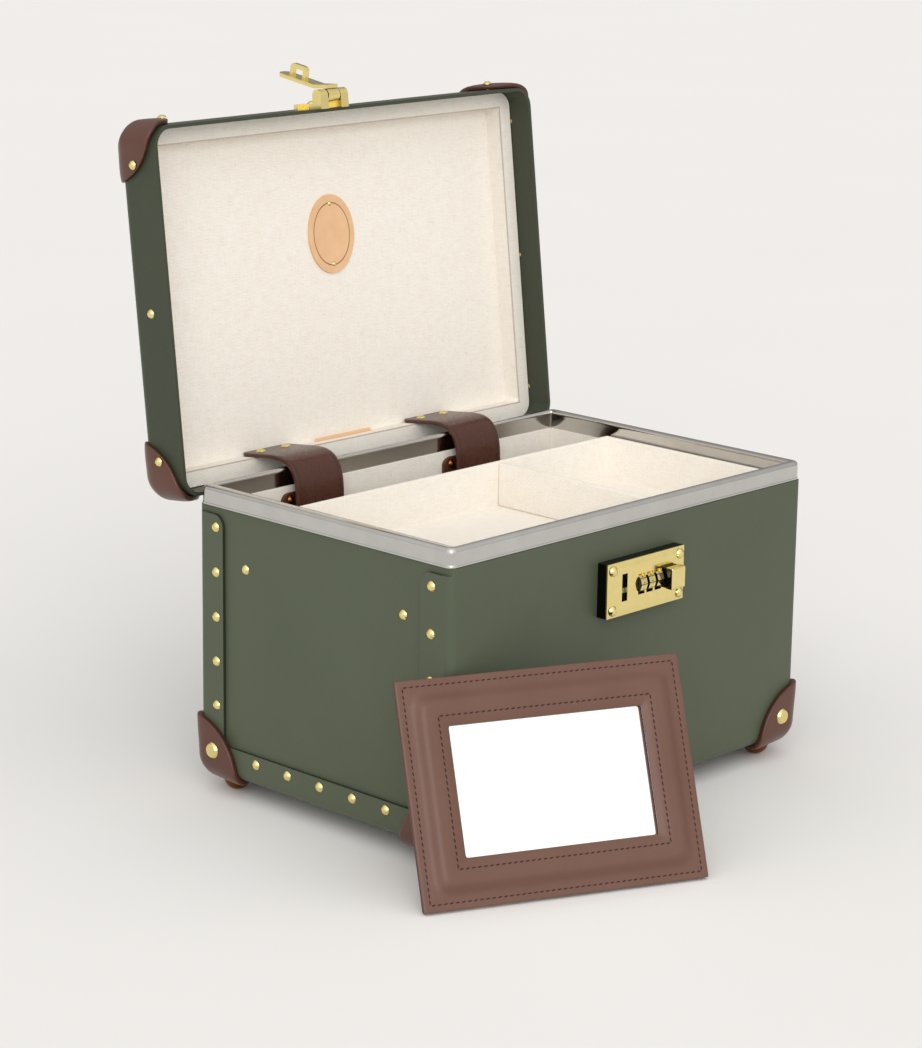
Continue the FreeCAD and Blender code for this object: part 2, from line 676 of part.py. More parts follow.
for k in range(DIAL_COUNT):
    x = DIAL_X + (k - (DIAL_COUNT - 1) / 2) * DIAL_PITCH
    half = DIAL_W / 2 + RUN
    plate = plate.cut(
        block(x - half, x + half, plate_y0, plate_y1, LOCK_Z - WINDOW_H / 2, LOCK_Z + WINDOW_H / 2)
    )
    turns = [facet * 2 * math.pi / DIAL_FACETS for facet in range(DIAL_FACETS + 1)]
    ring = [V(x - DIAL_W / 2, dial_y + DIAL_R * math.cos(a), LOCK_Z + DIAL_R * math.sin(a)) for a in turns]
    dial = Part.Face(Part.makePolygon(ring)).extrude(V(DIAL_W, 0, 0))
    bore = rod(DIAL_AXLE_R + RUNNING_FIT, V(x - DIAL_W, dial_y, LOCK_Z), X_AXIS, 2 * DIAL_W)
    save(f"dial_{k + 1}", dial.cut(bore))

# Four screws through plate, case and wall
lock_screws = []
screw_l = LOCK_PROUD + FIBRE_T
for side in SIDES.values():
    for up in (-1, 1):
        x = side * (LOCK_W / 2 - LOCK_SCREW_INSET)
        z = LOCK_Z + up * (LOCK_H / 2 - LOCK_SCREW_INSET)
        at, out = V(x, LOCK_FACE_Y, z), Y_AXIS * -1
        lock_screws.append(
            headed_pin(at, out, LOCK_SCREW_R, LOCK_SCREW_H, RIVET_FLAT_R, LOCK_SCREW_SHANK_R, screw_l)
        )
        x0, x1 = sorted((x - side * LOCK_POST, side * LOCK_W / 2))
        z0, z1 = sorted((z - up * LOCK_POST, LOCK_Z + up * LOCK_H / 2))
        lock_case = lock_case.fuse(block(x0, x1, LOCK_INNER_Y + LAY, FRONT_Y, z0, z1))
        hole = shank_hole(at, out, LOCK_SCREW_SHANK_R, screw_l)
        plate = plate.cut(hole)
        lock_case = lock_case.cut(hole)
        wrap = wrap.cut(hole)
save("lock_screws", lock_screws)
save("lock_plate", plate)
save("lock_case", lock_case)

# Hasp in its closed place: a cranked arm lies on a barrel round the pin, and its tip meets the lock plate
hasp_y, hasp_z = -LID_D / 2 - HASP_PIN_OUT, LID_LOW - HASP_PIN_DROP
hasp_pivot = V(HASP_X, hasp_y, hasp_z)
arm_half = HASP_ARM_W / 2
crank = math.radians(HASP_CRANK_DEG)
arm_off = HASP_BARREL_R + HASP_ARM_T / 2 - LAY


def crank_point(down):
    """A point of the arm's upper run, at a distance down from the pin."""
    y = hasp_y + arm_off * math.cos(crank) - down * math.sin(crank)
    return y, hasp_z - arm_off * math.sin(crank) - down * math.cos(crank)


arm_bend = crank_point(HASP_CRANK_AT)
arm_in = arm_bend[0] + HASP_ARM_T / 2
arm_low = hasp_z - HASP_ARM_L
arm_route = [crank_point(-HASP_ARM_PAST), arm_bend, (arm_bend[0], arm_low)]
arm_face = strip_face(arm_route, [HASP_CRANK_R], HASP_ARM_T, lambda y, z: V(HASP_X - arm_half, y, z))
arm = round_edges(
    arm_face.extrude(V(HASP_ARM_W, 0, 0)),
    HASP_TIP_R,
    lambda edge: edge_runs(edge, Y_AXIS) and edge_at(edge, Z_AXIS, arm_low),
)
barrel = rod(HASP_BARREL_R, hasp_pivot - X_AXIS * (arm_half - RUN), X_AXIS, HASP_ARM_W - 2 * RUN)
staple_z = hasp_z - STAPLE_AT
staple_end = arm_in + STAPLE_REACH
staple = block(
    HASP_X - STAPLE_STOCK / 2,
    HASP_X + STAPLE_STOCK / 2,
    arm_in - LAY,
    staple_end,
    staple_z - STAPLE_L / 2,
    staple_z + STAPLE_L / 2,
)
staple = round_edges(
    staple, STAPLE_STOCK, lambda edge: edge_runs(edge, X_AXIS) and edge_at(edge, Y_AXIS, staple_end)
)
loop_half = STAPLE_L / 2 - STAPLE_STOCK
loop_y = staple_end - STAPLE_STOCK
loop = block(HASP_X - arm_half, HASP_X + arm_half, arm_in, loop_y, staple_z - loop_half, staple_z + loop_half)
arm_bore = rod(HASP_PIN_R + RUNNING_FIT, hasp_pivot - X_AXIS * HASP_ARM_W, X_AXIS, 2 * HASP_ARM_W)
arm = arm.fuse([barrel, staple]).cut(loop).cut(arm_bore)
hasp_lean = math.degrees(math.asin((LOCK_FACE_Y - arm_in - HASP_TIP_GAP) / HASP_ARM_L))
closed_arm = arm.rotated(hasp_pivot, X_AXIS, hasp_lean)
hasp_swing = 180 + hasp_lean - HASP_TILT_DEG
save("hasp_arm", opened(closed_arm.rotated(hasp_pivot, X_AXIS, -hasp_swing)))

# Sliding knob with the bolt that passes through the closed staple
knob_back = LOCK_FACE_Y - RUN
knob_front = LOCK_FACE_Y - KNOB_PROUD
base_front = knob_back - KNOB_BASE_T
bolt_y0 = LOCK_INNER_Y + RUN
base_half_x, base_half_z = KNOB_W / 2 - KNOB_BASE_INSET, KNOB_H / 2 - KNOB_BASE_INSET
knob_base = block(
    KNOB_X - base_half_x,
    KNOB_X + base_half_x,
    base_front,
    knob_back,
    LOCK_Z - base_half_z,
    LOCK_Z + base_half_z,
)
stem = block(
    STEM_X - STEM_W / 2,
    STEM_X + STEM_W / 2,
    knob_back - LAY,
    bolt_y0,
    LOCK_Z - STEM_H / 2,
    LOCK_Z + STEM_H / 2,
)
save("knob_base", knob_base.fuse(stem).removeSplitter())
knob_cap = block(
    KNOB_X - KNOB_W / 2, KNOB_X + KNOB_W / 2, knob_front, base_front, LOCK_Z - KNOB_H / 2, LOCK_Z + KNOB_H / 2
)
save("knob_cap", round_edges(knob_cap, KNOB_EDGE_R, lambda edge: not edge_at(edge, Y_AXIS, base_front)))
bolt_y1 = bolt_y0 + BOLT_T
bar_top = LOCK_Z - DIAL_R - RUN
bar_low = bar_top - BOLT_BAR_H
arm_lean = math.radians(hasp_lean)
loop_low = staple_z - loop_half - hasp_z
loop_in = bolt_y1 - hasp_y
tip_low = hasp_z + loop_low / math.cos(arm_lean) + loop_in * math.tan(arm_lean) + RUN
tip_x = HASP_X - STAPLE_STOCK / 2 - BOLT_TIP_PAST
riser_x1 = DIAL_X - web_far - RUN - KNOB_TRAVEL
riser_x0 = riser_x1 - BOLT_RISER_W
bolt = block(STEM_X - STEM_W / 2, STEM_X + STEM_W / 2, bolt_y0, bolt_y1, bar_low, LOCK_Z + STEM_H / 2)
bolt = bolt.fuse([
    block(riser_x0, STEM_X, bolt_y0, bolt_y1, bar_low, bar_top),
    block(riser_x0, riser_x1, bolt_y0, bolt_y1, bar_low, tip_low + BOLT_TIP_H),
    block(tip_x, riser_x1, bolt_y0, bolt_y1, tip_low, tip_low + BOLT_TIP_H),
]).removeSplitter()
save("lock_bolt", bolt)

# Lid shell, modelled closed on the body
lid_x, lid_y = LID_W / 2, LID_D / 2


def lid_block(inset, z0, z1, plan_r, edge_r):
    shape = plan_block(lid_x - inset, lid_y - inset, plan_r, z0, z1)
    return round_edges(shape, edge_r, lambda edge: edge_at(edge, Z_AXIS, z1))


lid_outside = lid_block(0, LID_LOW, LID_TOP_Z, LID_PLAN_R, LID_EDGE_R)
lid = lid_outside.cut(
    lid_block(LID_T, LID_LOW - CUT_PAST, LID_TOP_Z - LID_T, LID_PLAN_R - LID_T, LID_EDGE_R - LID_T)
)

# Lid leather corners and rivets
lid_rivets = []
leather_top = LID_TOP_Z + LID_LEATHER_T
lid_skin = lid_block(
    -LID_LEATHER_T, LID_LOW, leather_top, LID_PLAN_R + LID_LEATHER_T, LID_EDGE_R + LID_LEATHER_T
).cut(lid_outside)
lid_rivet_z = LID_LOW + LID_RIVET_H
corner_shank = LID_LEATHER_T + LID_T
lid_ball = Part.makeSphere(LID_CORNER_REACH, V(-lid_x, lid_y, LID_TOP_Z), V(1, -1, -1))
lid_back_left = lid_skin.common(lid_ball)
for end_name, end in ENDS.items():
    for side_name, side in SIDES.items():
        corner = to_corner(lid_back_left, side, end)
        rivet_x, rivet_y = side * (lid_x - LID_RIVET_INSET), end * (lid_y - LID_RIVET_INSET)
        near_x, near_y = side * (lid_x - LID_PLAN_R), end * (lid_y - LID_PLAN_R)
        spots = [
            (V(side * (lid_x + LID_LEATHER_T), rivet_y, lid_rivet_z), V(side, 0, 0)),
            (V(rivet_x, end * (lid_y + LID_LEATHER_T), lid_rivet_z), V(0, end, 0)),
            (V(near_x, near_y, leather_top), Z_AXIS),
        ]
        for at, out in spots:
            lid_rivets.append(small_rivet(at, out, corner_shank, LID_RIVET_R))
            hole = shank_hole(at, out, RIVET_SHANK_R, corner_shank)
            corner = corner.cut(hole)
            lid = lid.cut(hole)
        save(f"lid_corner_{end_name}_{side_name}", opened(corner))
for side in SIDES.values():
    at, out = V(side * lid_x, 0, lid_rivet_z), V(side, 0, 0)
    lid_rivets.append(small_rivet(at, out, LID_T, LID_RIVET_R))
    lid = lid.cut(shank_hole(at, out, RIVET_SHANK_R, LID_T))

# Butt hinges: body leaves with the outer knuckles and pins, lid leaves with the middle knuckles
body_leaves, lid_leaves, hinge_pins, body_hinge_rivets, lid_hinge_rivets = [], [], [], [], []
hinge_half, middle_half = HINGE_W / 2, HINGE_MIDDLE_L / 2
hinge_shank = HINGE_LEAF_T + FIBRE_T
leaf_top = LID_LOW - RUN
bracket_low = leaf_top - HINGE_LEAF_T
lid_leaf_low = HINGE_Z + HINGE_KNUCKLE_R + RUN
lid_leaf_y = lid_y + HINGE_LEAF_T
for side in SIDES.values():
    x = side * (BODY_W / 2 - HINGE_INSET)
    leaf_x0, leaf_x1 = x - hinge_half, x + hinge_half
    line = V(leaf_x0, HINGE_Y, HINGE_Z)
    bore = rod(HINGE_PIN_R + RUNNING_FIT, line, X_AXIS, HINGE_W)
    hinge_pins.append(rod(HINGE_PIN_R, line, X_AXIS, HINGE_W))
    body_leaf = block(
        leaf_x0, leaf_x1, BACK_Y, BACK_Y + HINGE_LEAF_T, leaf_top - HINGE_BODY_LEAF_H, leaf_top
    )
    for end in ENDS.values():
        x0, x1 = sorted((x + end * (middle_half + RUN), x + end * hinge_half))
        body_leaf = body_leaf.fuse([
            rod(HINGE_KNUCKLE_R, V(x0, HINGE_Y, HINGE_Z), X_AXIS, x1 - x0),
            block(x0, x1, BACK_Y, HINGE_Y + HINGE_LEAF_T, bracket_low, leaf_top),
            block(x0, x1, HINGE_Y, HINGE_Y + HINGE_LEAF_T, bracket_low, HINGE_Z),
        ])
    body_leaf = body_leaf.cut(bore)
    lid_leaf = block(leaf_x0, leaf_x1, lid_y, lid_leaf_y, lid_leaf_low, lid_leaf_low + HINGE_LID_LEAF_H)
    lid_leaf = lid_leaf.fuse([
        rod(HINGE_KNUCKLE_R, V(x - middle_half, HINGE_Y, HINGE_Z), X_AXIS, HINGE_MIDDLE_L),
        block(x - middle_half, x + middle_half, lid_y, lid_leaf_y, HINGE_Z, lid_leaf_low),
    ])
    lid_leaf = lid_leaf.cut(bore)
    for k in (-1, 0, 1):
        rivet_x = x + k * HINGE_RIVET_PITCH
        body_at = V(rivet_x, BACK_Y + HINGE_LEAF_T, leaf_top - HINGE_BODY_LEAF_H / 2)
        lid_at = V(rivet_x, lid_leaf_y, lid_leaf_low + HINGE_LID_LEAF_H / 2)
        body_hinge_rivets.append(small_rivet(body_at, Y_AXIS, hinge_shank))
        lid_hinge_rivets.append(small_rivet(lid_at, Y_AXIS, hinge_shank))
        body_hole = shank_hole(body_at, Y_AXIS, RIVET_SHANK_R, hinge_shank)
        lid_hole = shank_hole(lid_at, Y_AXIS, RIVET_SHANK_R, hinge_shank)
        body_leaf = body_leaf.cut(body_hole)
        wrap = wrap.cut(body_hole)
        lid_leaf = lid_leaf.cut(lid_hole)
        lid = lid.cut(lid_hole)
    body_leaves.append(body_leaf)
    lid_leaves.append(lid_leaf)
save("body_wrap", wrap)
save("hinge_body_leaves", body_leaves)
save("hinge_pins", hinge_pins)
save("hinge_body_rivets", body_hinge_rivets)
save("hinge_lid_leaves", [opened(leaf) for leaf in lid_leaves])

# Hasp base on the lid front: a tongue with two knuckles, and a wing at each side
lid_front = -lid_y
base_y = lid_front - HASP_BASE_T
base_half = HASP_BASE_W / 2
wing_half = base_half + HASP_WING_W
base_high = LID_LOW + HASP_BASE_H
knuckle_low, knuckle_high = hasp_z - HASP_KNUCKLE_R, hasp_z + HASP_KNUCKLE_R
hasp_base = block(HASP_X - base_half, HASP_X + base_half, base_y, lid_front, knuckle_low, base_high)
wings = block(
    HASP_X - wing_half, HASP_X + wing_half, base_y, lid_front, LID_LOW + HASP_WING_RISE, base_high
)
arm_gap = arm_half + RUN
gap_front, gap_low = base_y - CUT_PAST, knuckle_low - CUT_PAST
hasp_base = hasp_base.fuse(wings).cut(
    block(HASP_X - arm_gap, HASP_X + arm_gap, gap_front, lid_front, gap_low, knuckle_high)
)
for side in SIDES.values():
    x0, x1 = sorted((HASP_X + side * arm_gap, HASP_X + side * base_half))
    hasp_base = hasp_base.fuse([
        rod(HASP_KNUCKLE_R, V(x0, hasp_y, hasp_z), X_AXIS, x1 - x0),
        block(x0, x1, hasp_y, base_y + LAY, knuckle_low, knuckle_high),
    ])
hasp_line = V(HASP_X - base_half, hasp_y, hasp_z)
hasp_base = hasp_base.cut(rod(HASP_PIN_R + LAY, hasp_line, X_AXIS, HASP_BASE_W))
save("hasp_pin", opened(rod(HASP_PIN_R, hasp_line, X_AXIS, HASP_BASE_W)))
hasp_shank = HASP_BASE_T + LID_T
for side in SIDES.values():
    at = V(HASP_X + side * (base_half - HASP_RIVET_INSET), base_y, LID_LOW + HASP_RIVET_RISE)
    lid_rivets.append(small_rivet(at, Y_AXIS * -1, hasp_shank, LID_RIVET_R))
    hole = shank_hole(at, Y_AXIS * -1, RIVET_SHANK_R, hasp_shank)
    hasp_base = hasp_base.cut(hole)
    lid = lid.cut(hole)
save("hasp_base", opened(hasp_base.removeSplitter()))
save("lid_rivets", [opened(rivet) for rivet in lid_rivets + lid_hinge_rivets])

# Lid lining: border frame with a finger notch, panel and oval badge
frame_x, frame_y = lid_x - LID_T - LID_FRAME_PLAY, lid_y - LID_T - LID_FRAME_PLAY
frame_low = LID_LOW + LID_FRAME_H
frame_high = frame_low + LID_FRAME_DEPTH
frame_r = LID_PLAN_R - LID_T - LID_FRAME_PLAY
border = plan_ring(frame_x, frame_y, frame_r, LID_FRAME_W, LID_FRAME_CORNER_R, frame_low, frame_high)
border_in_y = frame_y - LID_FRAME_W
notch_low = frame_high - NOTCH_H
notch_corners = [
    V(NOTCH_X - NOTCH_W / 2, border_in_y, notch_low),
    V(NOTCH_X + NOTCH_W / 2, border_in_y, notch_low),
    V(NOTCH_X + NOTCH_BOTTOM_W / 2, border_in_y + NOTCH_DEPTH, notch_low),
    V(NOTCH_X - NOTCH_BOTTOM_W / 2, border_in_y + NOTCH_DEPTH, notch_low),
]
notch = Part.Face(Part.makePolygon(notch_corners + notch_corners[:1]))
border = border.cut(notch.extrude(Z_AXIS * (NOTCH_H + CUT_PAST)))
panel_half_x, panel_half_y = frame_x - LID_PANEL_TUCK, frame_y - LID_PANEL_TUCK
lid_panel = block(
    -panel_half_x, panel_half_x, -panel_half_y, panel_half_y, frame_high + LAY, frame_high + LAY + LID_PANEL_T
)
badge_y = -BADGE_FORWARD
badge_low = frame_high - BADGE_T
badge_at = V(0, badge_y, badge_low)
oval = Part.Ellipse(badge_at + Y_AXIS * (BADGE_L / 2), badge_at + X_AXIS * (BADGE_W / 2), badge_at)
badge = Part.Face(Part.Wire([oval.toShape()])).extrude(V(0, 0, BADGE_T))
badge_pins = []
pin_shank = BADGE_T + LAY + LID_PANEL_T / 2
for end in ENDS.values():
    at = V(0, badge_y + end * (BADGE_L / 2 - BADGE_PIN_INSET), badge_low)
    down = Z_AXIS * -1
    badge_pins.append(
        headed_pin(at, down, BADGE_PIN_R, BADGE_PIN_H, BADGE_PIN_SHANK_R, BADGE_PIN_SHANK_R, pin_shank)
    )
    hole = shank_hole(at, down, BADGE_PIN_SHANK_R, pin_shank)
    badge = badge.cut(hole)
    lid_panel = lid_panel.cut(hole)
save("badge", opened(badge))
save("badge_pins", [opened(pin) for pin in badge_pins])
save("lid_panel", opened(lid_panel))

# Straps: from the frame's rear inner face over the rim, down behind the tray and back up the rear lining
lean_back = math.radians(LID_OPEN_DEG)


def open_point(s, h):
    """Back and up places of a lid point at s from its rear face and h above its edge, with the lid open."""
    ahead, above = s + HINGE_BACK, h - HINGE_RISE
    y = HINGE_Y - ahead * math.cos(lean_back) + above * math.sin(lean_back)
    return y, HINGE_Z + ahead * math.sin(lean_back) + above * math.cos(lean_back)


strap_s = LID_T + LID_FRAME_PLAY + LID_FRAME_W + LAY + STRAP_T / 2
strap_end = open_point(strap_s, LID_FRAME_H + LID_FRAME_DEPTH - LAY)
strap_lip = open_point(strap_s, LID_FRAME_H - STRAP_T)
rim_over = RIM_TOP + RUN + STRAP_T / 2
leg_back_y = LINING_Y - LAY - STRAP_T / 2
leg_front_y = leg_back_y - STRAP_T - STRAP_LOOP_GAP
strap_low = BODY_H - STRAP_LOOP_DROP
tab_top, tab_y0 = BODY_H - STRAP_TAB_DROP, leg_back_y - STRAP_T / 2
strap_route = [
    strap_end,
    strap_lip,
    (RIM_Y - RIM_W - STRAP_T, rim_over),
    (leg_front_y, BODY_H - STRAP_T),
    (leg_front_y, strap_low),
    (leg_back_y, strap_low),
    (leg_back_y, tab_top - STRAP_END_R),
]
turn_r = (leg_back_y - leg_front_y) / 2 - LAY
strap_bends = [STRAP_LOOP_GAP, STRAP_BEND_R, STRAP_BEND_R, turn_r, turn_r]
strap_rivets_lid, strap_rivets_body = [], []
strap_face = strip_face(strap_route, strap_bends, STRAP_T, lambda y, z: V(0, y, z))
back_lining = linings["back"]
frame_in_y = lid_y - strap_s - STRAP_T / 2
strap_shank = STRAP_T + LINING_T
strap_x = BODY_W / 2 - STRAP_INSET
for name, side in SIDES.items():
    strap = strap_face.extrude(V(STRAP_W, 0, 0))
    strap.translate(V(side * strap_x - STRAP_W / 2, 0, 0))
    tab_x0, tab_x1 = side * strap_x - STRAP_TAB_W / 2, side * strap_x + STRAP_TAB_W / 2
    tab = block(tab_x0, tab_x1, tab_y0, tab_y0 + STRAP_T, tab_top - STRAP_TAB_L, tab_top)
    tab = round_edges(tab, STRAP_END_R, lambda edge: edge_runs(edge, Y_AXIS))
    strap = strap.fuse(tab).removeSplitter()
    for offset in (-STRAP_TAB_SPREAD, STRAP_TAB_SPREAD):
        at = V(side * strap_x + offset, tab_y0, BODY_H - STRAP_RIVET_DROP)
        strap_rivets_body.append(small_rivet(at, Y_AXIS * -1, strap_shank))
        hole = shank_hole(at, Y_AXIS * -1, RIVET_SHANK_R, strap_shank)
        strap = strap.cut(hole)
        back_lining = back_lining.cut(hole)
    for offset in (-STRAP_RIVET_SPREAD, STRAP_RIVET_SPREAD):
        at = V(side * strap_x + offset, frame_in_y, LID_LOW + STRAP_RIVET_H)
        strap_rivets_lid.append(opened(small_rivet(at, Y_AXIS * -1, STRAP_T + LID_FRAME_W / 2)))
        hole = shank_hole(at, Y_AXIS * -1, RIVET_SHANK_R, STRAP_T + LID_FRAME_W / 2)
        strap = strap.cut(opened(hole))
        border = border.cut(hole)
    save(f"strap_{name}", strap)
save("strap_rivets_lid", strap_rivets_lid)
save("strap_rivets_body", strap_rivets_body)
save("lining_back", back_lining)
save("lid_lining_frame", opened(border))

# Carrying handle: leather grip with eyes at its ends, hanging from pins in two brass mounts
pivot_z = LID_TOP_Z + HANDLE_PIVOT_H
half_span = HANDLE_SPAN / 2
grip_z = pivot_z + HANDLE_RISE
grip_route = [(-half_span, pivot_z), (-half_span, grip_z), (half_span, grip_z), (half_span, pivot_z)]
grip_bends = [HANDLE_BEND_R, HANDLE_BEND_R]
grip_face = strip_face(grip_route, grip_bends, HANDLE_T, lambda x, z: V(x, -HANDLE_W / 2, z))
grip = round_edges(
    grip_face.extrude(V(0, HANDLE_W, 0)),
    HANDLE_EDGE_R,
    lambda edge: edge_at(edge, Y_AXIS, -HANDLE_W / 2) or edge_at(edge, Y_AXIS, HANDLE_W / 2),
)
handle_mounts, handle_pins = [], []
eye_near, eye_far = half_span - HANDLE_T / 2, half_span + HANDLE_T / 2
ear_near = eye_far + RUN
ear_far = ear_near + HANDLE_EAR_T
plate_far = ear_near + HANDLE_PLATE_L
plate_top = LID_TOP_Z + HANDLE_PLATE_T
plate_half = HANDLE_PLATE_W / 2
for side in SIDES.values():
    x0, x1 = span(side, eye_near, eye_far)
    for end in ENDS.values():
        y0, y1 = span(end, HANDLE_EYE_R, HANDLE_W)
        grip = grip.cut(
            block(x0 - CUT_PAST, x1 + CUT_PAST, y0, y1, pivot_z - CUT_PAST, pivot_z + HANDLE_EYE_R)
        )
    eye = rod(HANDLE_EYE_R, V(x0, 0, pivot_z), X_AXIS, HANDLE_T)
    pin_x0, pin_x1 = span(side, eye_near, ear_far)
    pin_line = V(pin_x0, 0, pivot_z)
    pin_l = pin_x1 - pin_x0
    grip = grip.fuse(eye).cut(rod(HANDLE_PIN_R + RUNNING_FIT, pin_line, X_AXIS, pin_l))
    ear_x0, ear_x1 = span(side, ear_near, ear_far)
    ear = rod(HANDLE_EAR_R, V(ear_x0, 0, pivot_z), X_AXIS, HANDLE_EAR_T)
    post = block(ear_x0, ear_x1, -HANDLE_EAR_R, HANDLE_EAR_R, plate_top - LAY, pivot_z)
    foot_x0, foot_x1 = span(side, ear_near, plate_far)
    foot = block(foot_x0, foot_x1, -plate_half, plate_half, LID_TOP_Z, plate_top)
    mount = foot.fuse([ear, post]).cut(rod(HANDLE_PIN_R + LAY, pin_line, X_AXIS, pin_l))
    for end in ENDS.values():
        rivet_x = side * (plate_far - HANDLE_RIVET_INSET)
        at = V(rivet_x, end * (plate_half - HANDLE_RIVET_INSET), plate_top)
        handle_pins.append(opened(small_rivet(at, Z_AXIS, HANDLE_PLATE_T + LID_T)))
        hole = shank_hole(at, Z_AXIS, RIVET_SHANK_R, HANDLE_PLATE_T + LID_T)
        mount = mount.cut(hole)
        lid = lid.cut(hole)
    handle_mounts.append(opened(mount.removeSplitter()))
    handle_pins.append(opened(rod(HANDLE_PIN_R, pin_line, X_AXIS, pin_l)))
handle_hang = 180 - LID_OPEN_DEG
save("handle_grip", opened(grip.rotated(V(0, 0, pivot_z), X_AXIS, -handle_hang)))
save("handle_mounts", handle_mounts)
save("handle_pins", handle_pins)
save("lid_shell", opened(lid))

# Mirror: padded leather frame, glass and backing, built upright and then leaned on the case's front left edge
frame_front = -MIRROR_BASE_T
half_w = MIRROR_W / 2


def mirror_slab(inset, y0, y1, radius):
    shape = block(-half_w + inset, half_w - inset, y0, y1, inset, MIRROR_H - inset)
    return round_edges(shape, radius, lambda edge: edge_runs(edge, Y_AXIS))


def mirror_ring(outer, inner, y0, y1):
    hole = block(-half_w + inner, half_w - inner, y0 - CUT_PAST, y1 + CUT_PAST, inner, MIRROR_H - inner)
    return mirror_slab(outer, y0, y1, MIRROR_CORNER_R).cut(hole)


crown_front = frame_front - MIRROR_CROWN_T
crown = mirror_ring(MIRROR_MARGIN, MIRROR_BORDER - MIRROR_LIP / 2, crown_front, frame_front + LAY)
crown = round_edges(crown, MIRROR_CROWN_R, lambda edge: edge_at(edge, Y_AXIS, crown_front))
glass_edge = MIRROR_BORDER - MIRROR_GLASS_LAP
glass_half, glass_top = half_w - glass_edge, MIRROR_H - glass_edge
rebate = block(
    -glass_half - LAY,
    glass_half + LAY,
    -MIRROR_GLASS_T - LAY,
    CUT_PAST,
    glass_edge - LAY,
    glass_top + LAY,
)
mirror_frame = mirror_ring(0, MIRROR_BORDER, frame_front, 0).fuse(crown).cut(rebate)
mirror_glass = block(-glass_half, glass_half, -MIRROR_GLASS_T, 0, glass_edge, glass_top)
mirror_back = mirror_slab(0, LAY, LAY + MIRROR_BACK_T, MIRROR_CORNER_R)
mirror_lean = math.radians(MIRROR_LEAN_DEG)
back_face = LAY + MIRROR_BACK_T
stand_off = FOLD_R + RUN + MIRROR_H * math.sin(mirror_lean) + back_face * math.cos(mirror_lean)
left_of_edge = MIRROR_LEFT_OF_EDGE - half_w
yaw = math.radians(MIRROR_YAW_DEG)
along, backward = V(math.cos(yaw), math.sin(yaw), 0), V(-math.sin(yaw), math.cos(yaw), 0)
edge_axis = V(-BODY_W / 2 + FOLD_R, FRONT_Y + FOLD_R, FLOOR_Z + back_face * math.sin(mirror_lean))
mirror_foot = edge_axis - along * left_of_edge - backward * stand_off
mirror_pieces = {"frame": mirror_frame, "glass": mirror_glass, "back": mirror_back}
for name, shape in mirror_pieces.items():
    leaned = shape.rotated(V(0, 0, 0), X_AXIS, -MIRROR_LEAN_DEG)
    save(f"mirror_{name}", leaned.rotated(V(0, 0, 0), Z_AXIS, MIRROR_YAW_DEG).translated(mirror_foot))
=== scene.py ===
import bmesh
import bpy
import math
from mathutils import Matrix, Vector, geometry


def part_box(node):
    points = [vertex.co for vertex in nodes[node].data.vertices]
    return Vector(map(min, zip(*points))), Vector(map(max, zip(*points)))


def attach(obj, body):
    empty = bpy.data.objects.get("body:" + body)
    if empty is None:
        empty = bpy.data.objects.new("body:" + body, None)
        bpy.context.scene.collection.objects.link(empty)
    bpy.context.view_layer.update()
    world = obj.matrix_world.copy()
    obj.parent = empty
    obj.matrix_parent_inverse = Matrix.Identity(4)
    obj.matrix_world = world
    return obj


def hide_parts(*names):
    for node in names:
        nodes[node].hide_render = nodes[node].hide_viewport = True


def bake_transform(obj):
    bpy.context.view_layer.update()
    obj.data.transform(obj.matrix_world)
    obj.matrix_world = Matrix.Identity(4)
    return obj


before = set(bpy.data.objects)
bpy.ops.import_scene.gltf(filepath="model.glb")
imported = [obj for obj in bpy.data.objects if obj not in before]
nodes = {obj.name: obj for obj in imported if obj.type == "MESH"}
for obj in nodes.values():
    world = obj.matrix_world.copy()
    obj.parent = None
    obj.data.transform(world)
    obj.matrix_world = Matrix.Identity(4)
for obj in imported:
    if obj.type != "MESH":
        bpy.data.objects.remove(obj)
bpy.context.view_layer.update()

# Body of the case: one sheet of olive vulcanised fibre folded as a U, with laps turned onto two end panels.
# The sheet is calendered hard and satin, so it keeps a faint pebble, a slow waviness and cloudy colour.
mm = 0.001


class Value:
    """One output of a finish's nodes. Arithmetic on it adds Math nodes."""

    def __init__(self, finish, socket):
        self.finish = finish
        self.socket = socket

    def math(self, operation, first, second):
        return self.finish.node("Math", {"operation": operation}, {0: first, 1: second})

    def __add__(self, other):
        return self.math("ADD", self, other)

    def __sub__(self, other):
        return self.math("SUBTRACT", self, other)

    def __mul__(self, other):
        return self.math("MULTIPLY", self, other)

    def __truediv__(self, other):
        return self.math("DIVIDE", self, other)

    def __pow__(self, other):
        return self.math("POWER", self, other)

    def __rsub__(self, other):
        return self.math("SUBTRACT", other, self)

    def __rtruediv__(self, other):
        return self.math("DIVIDE", other, self)

    def __abs__(self):
        return self.math("ABSOLUTE", self, 0.0)

    def above(self, level):
        return self.math("GREATER_THAN", self, level)

    def most(self, other):
        return self.math("MAXIMUM", self, other)

    __radd__ = __add__
    __rmul__ = __mul__


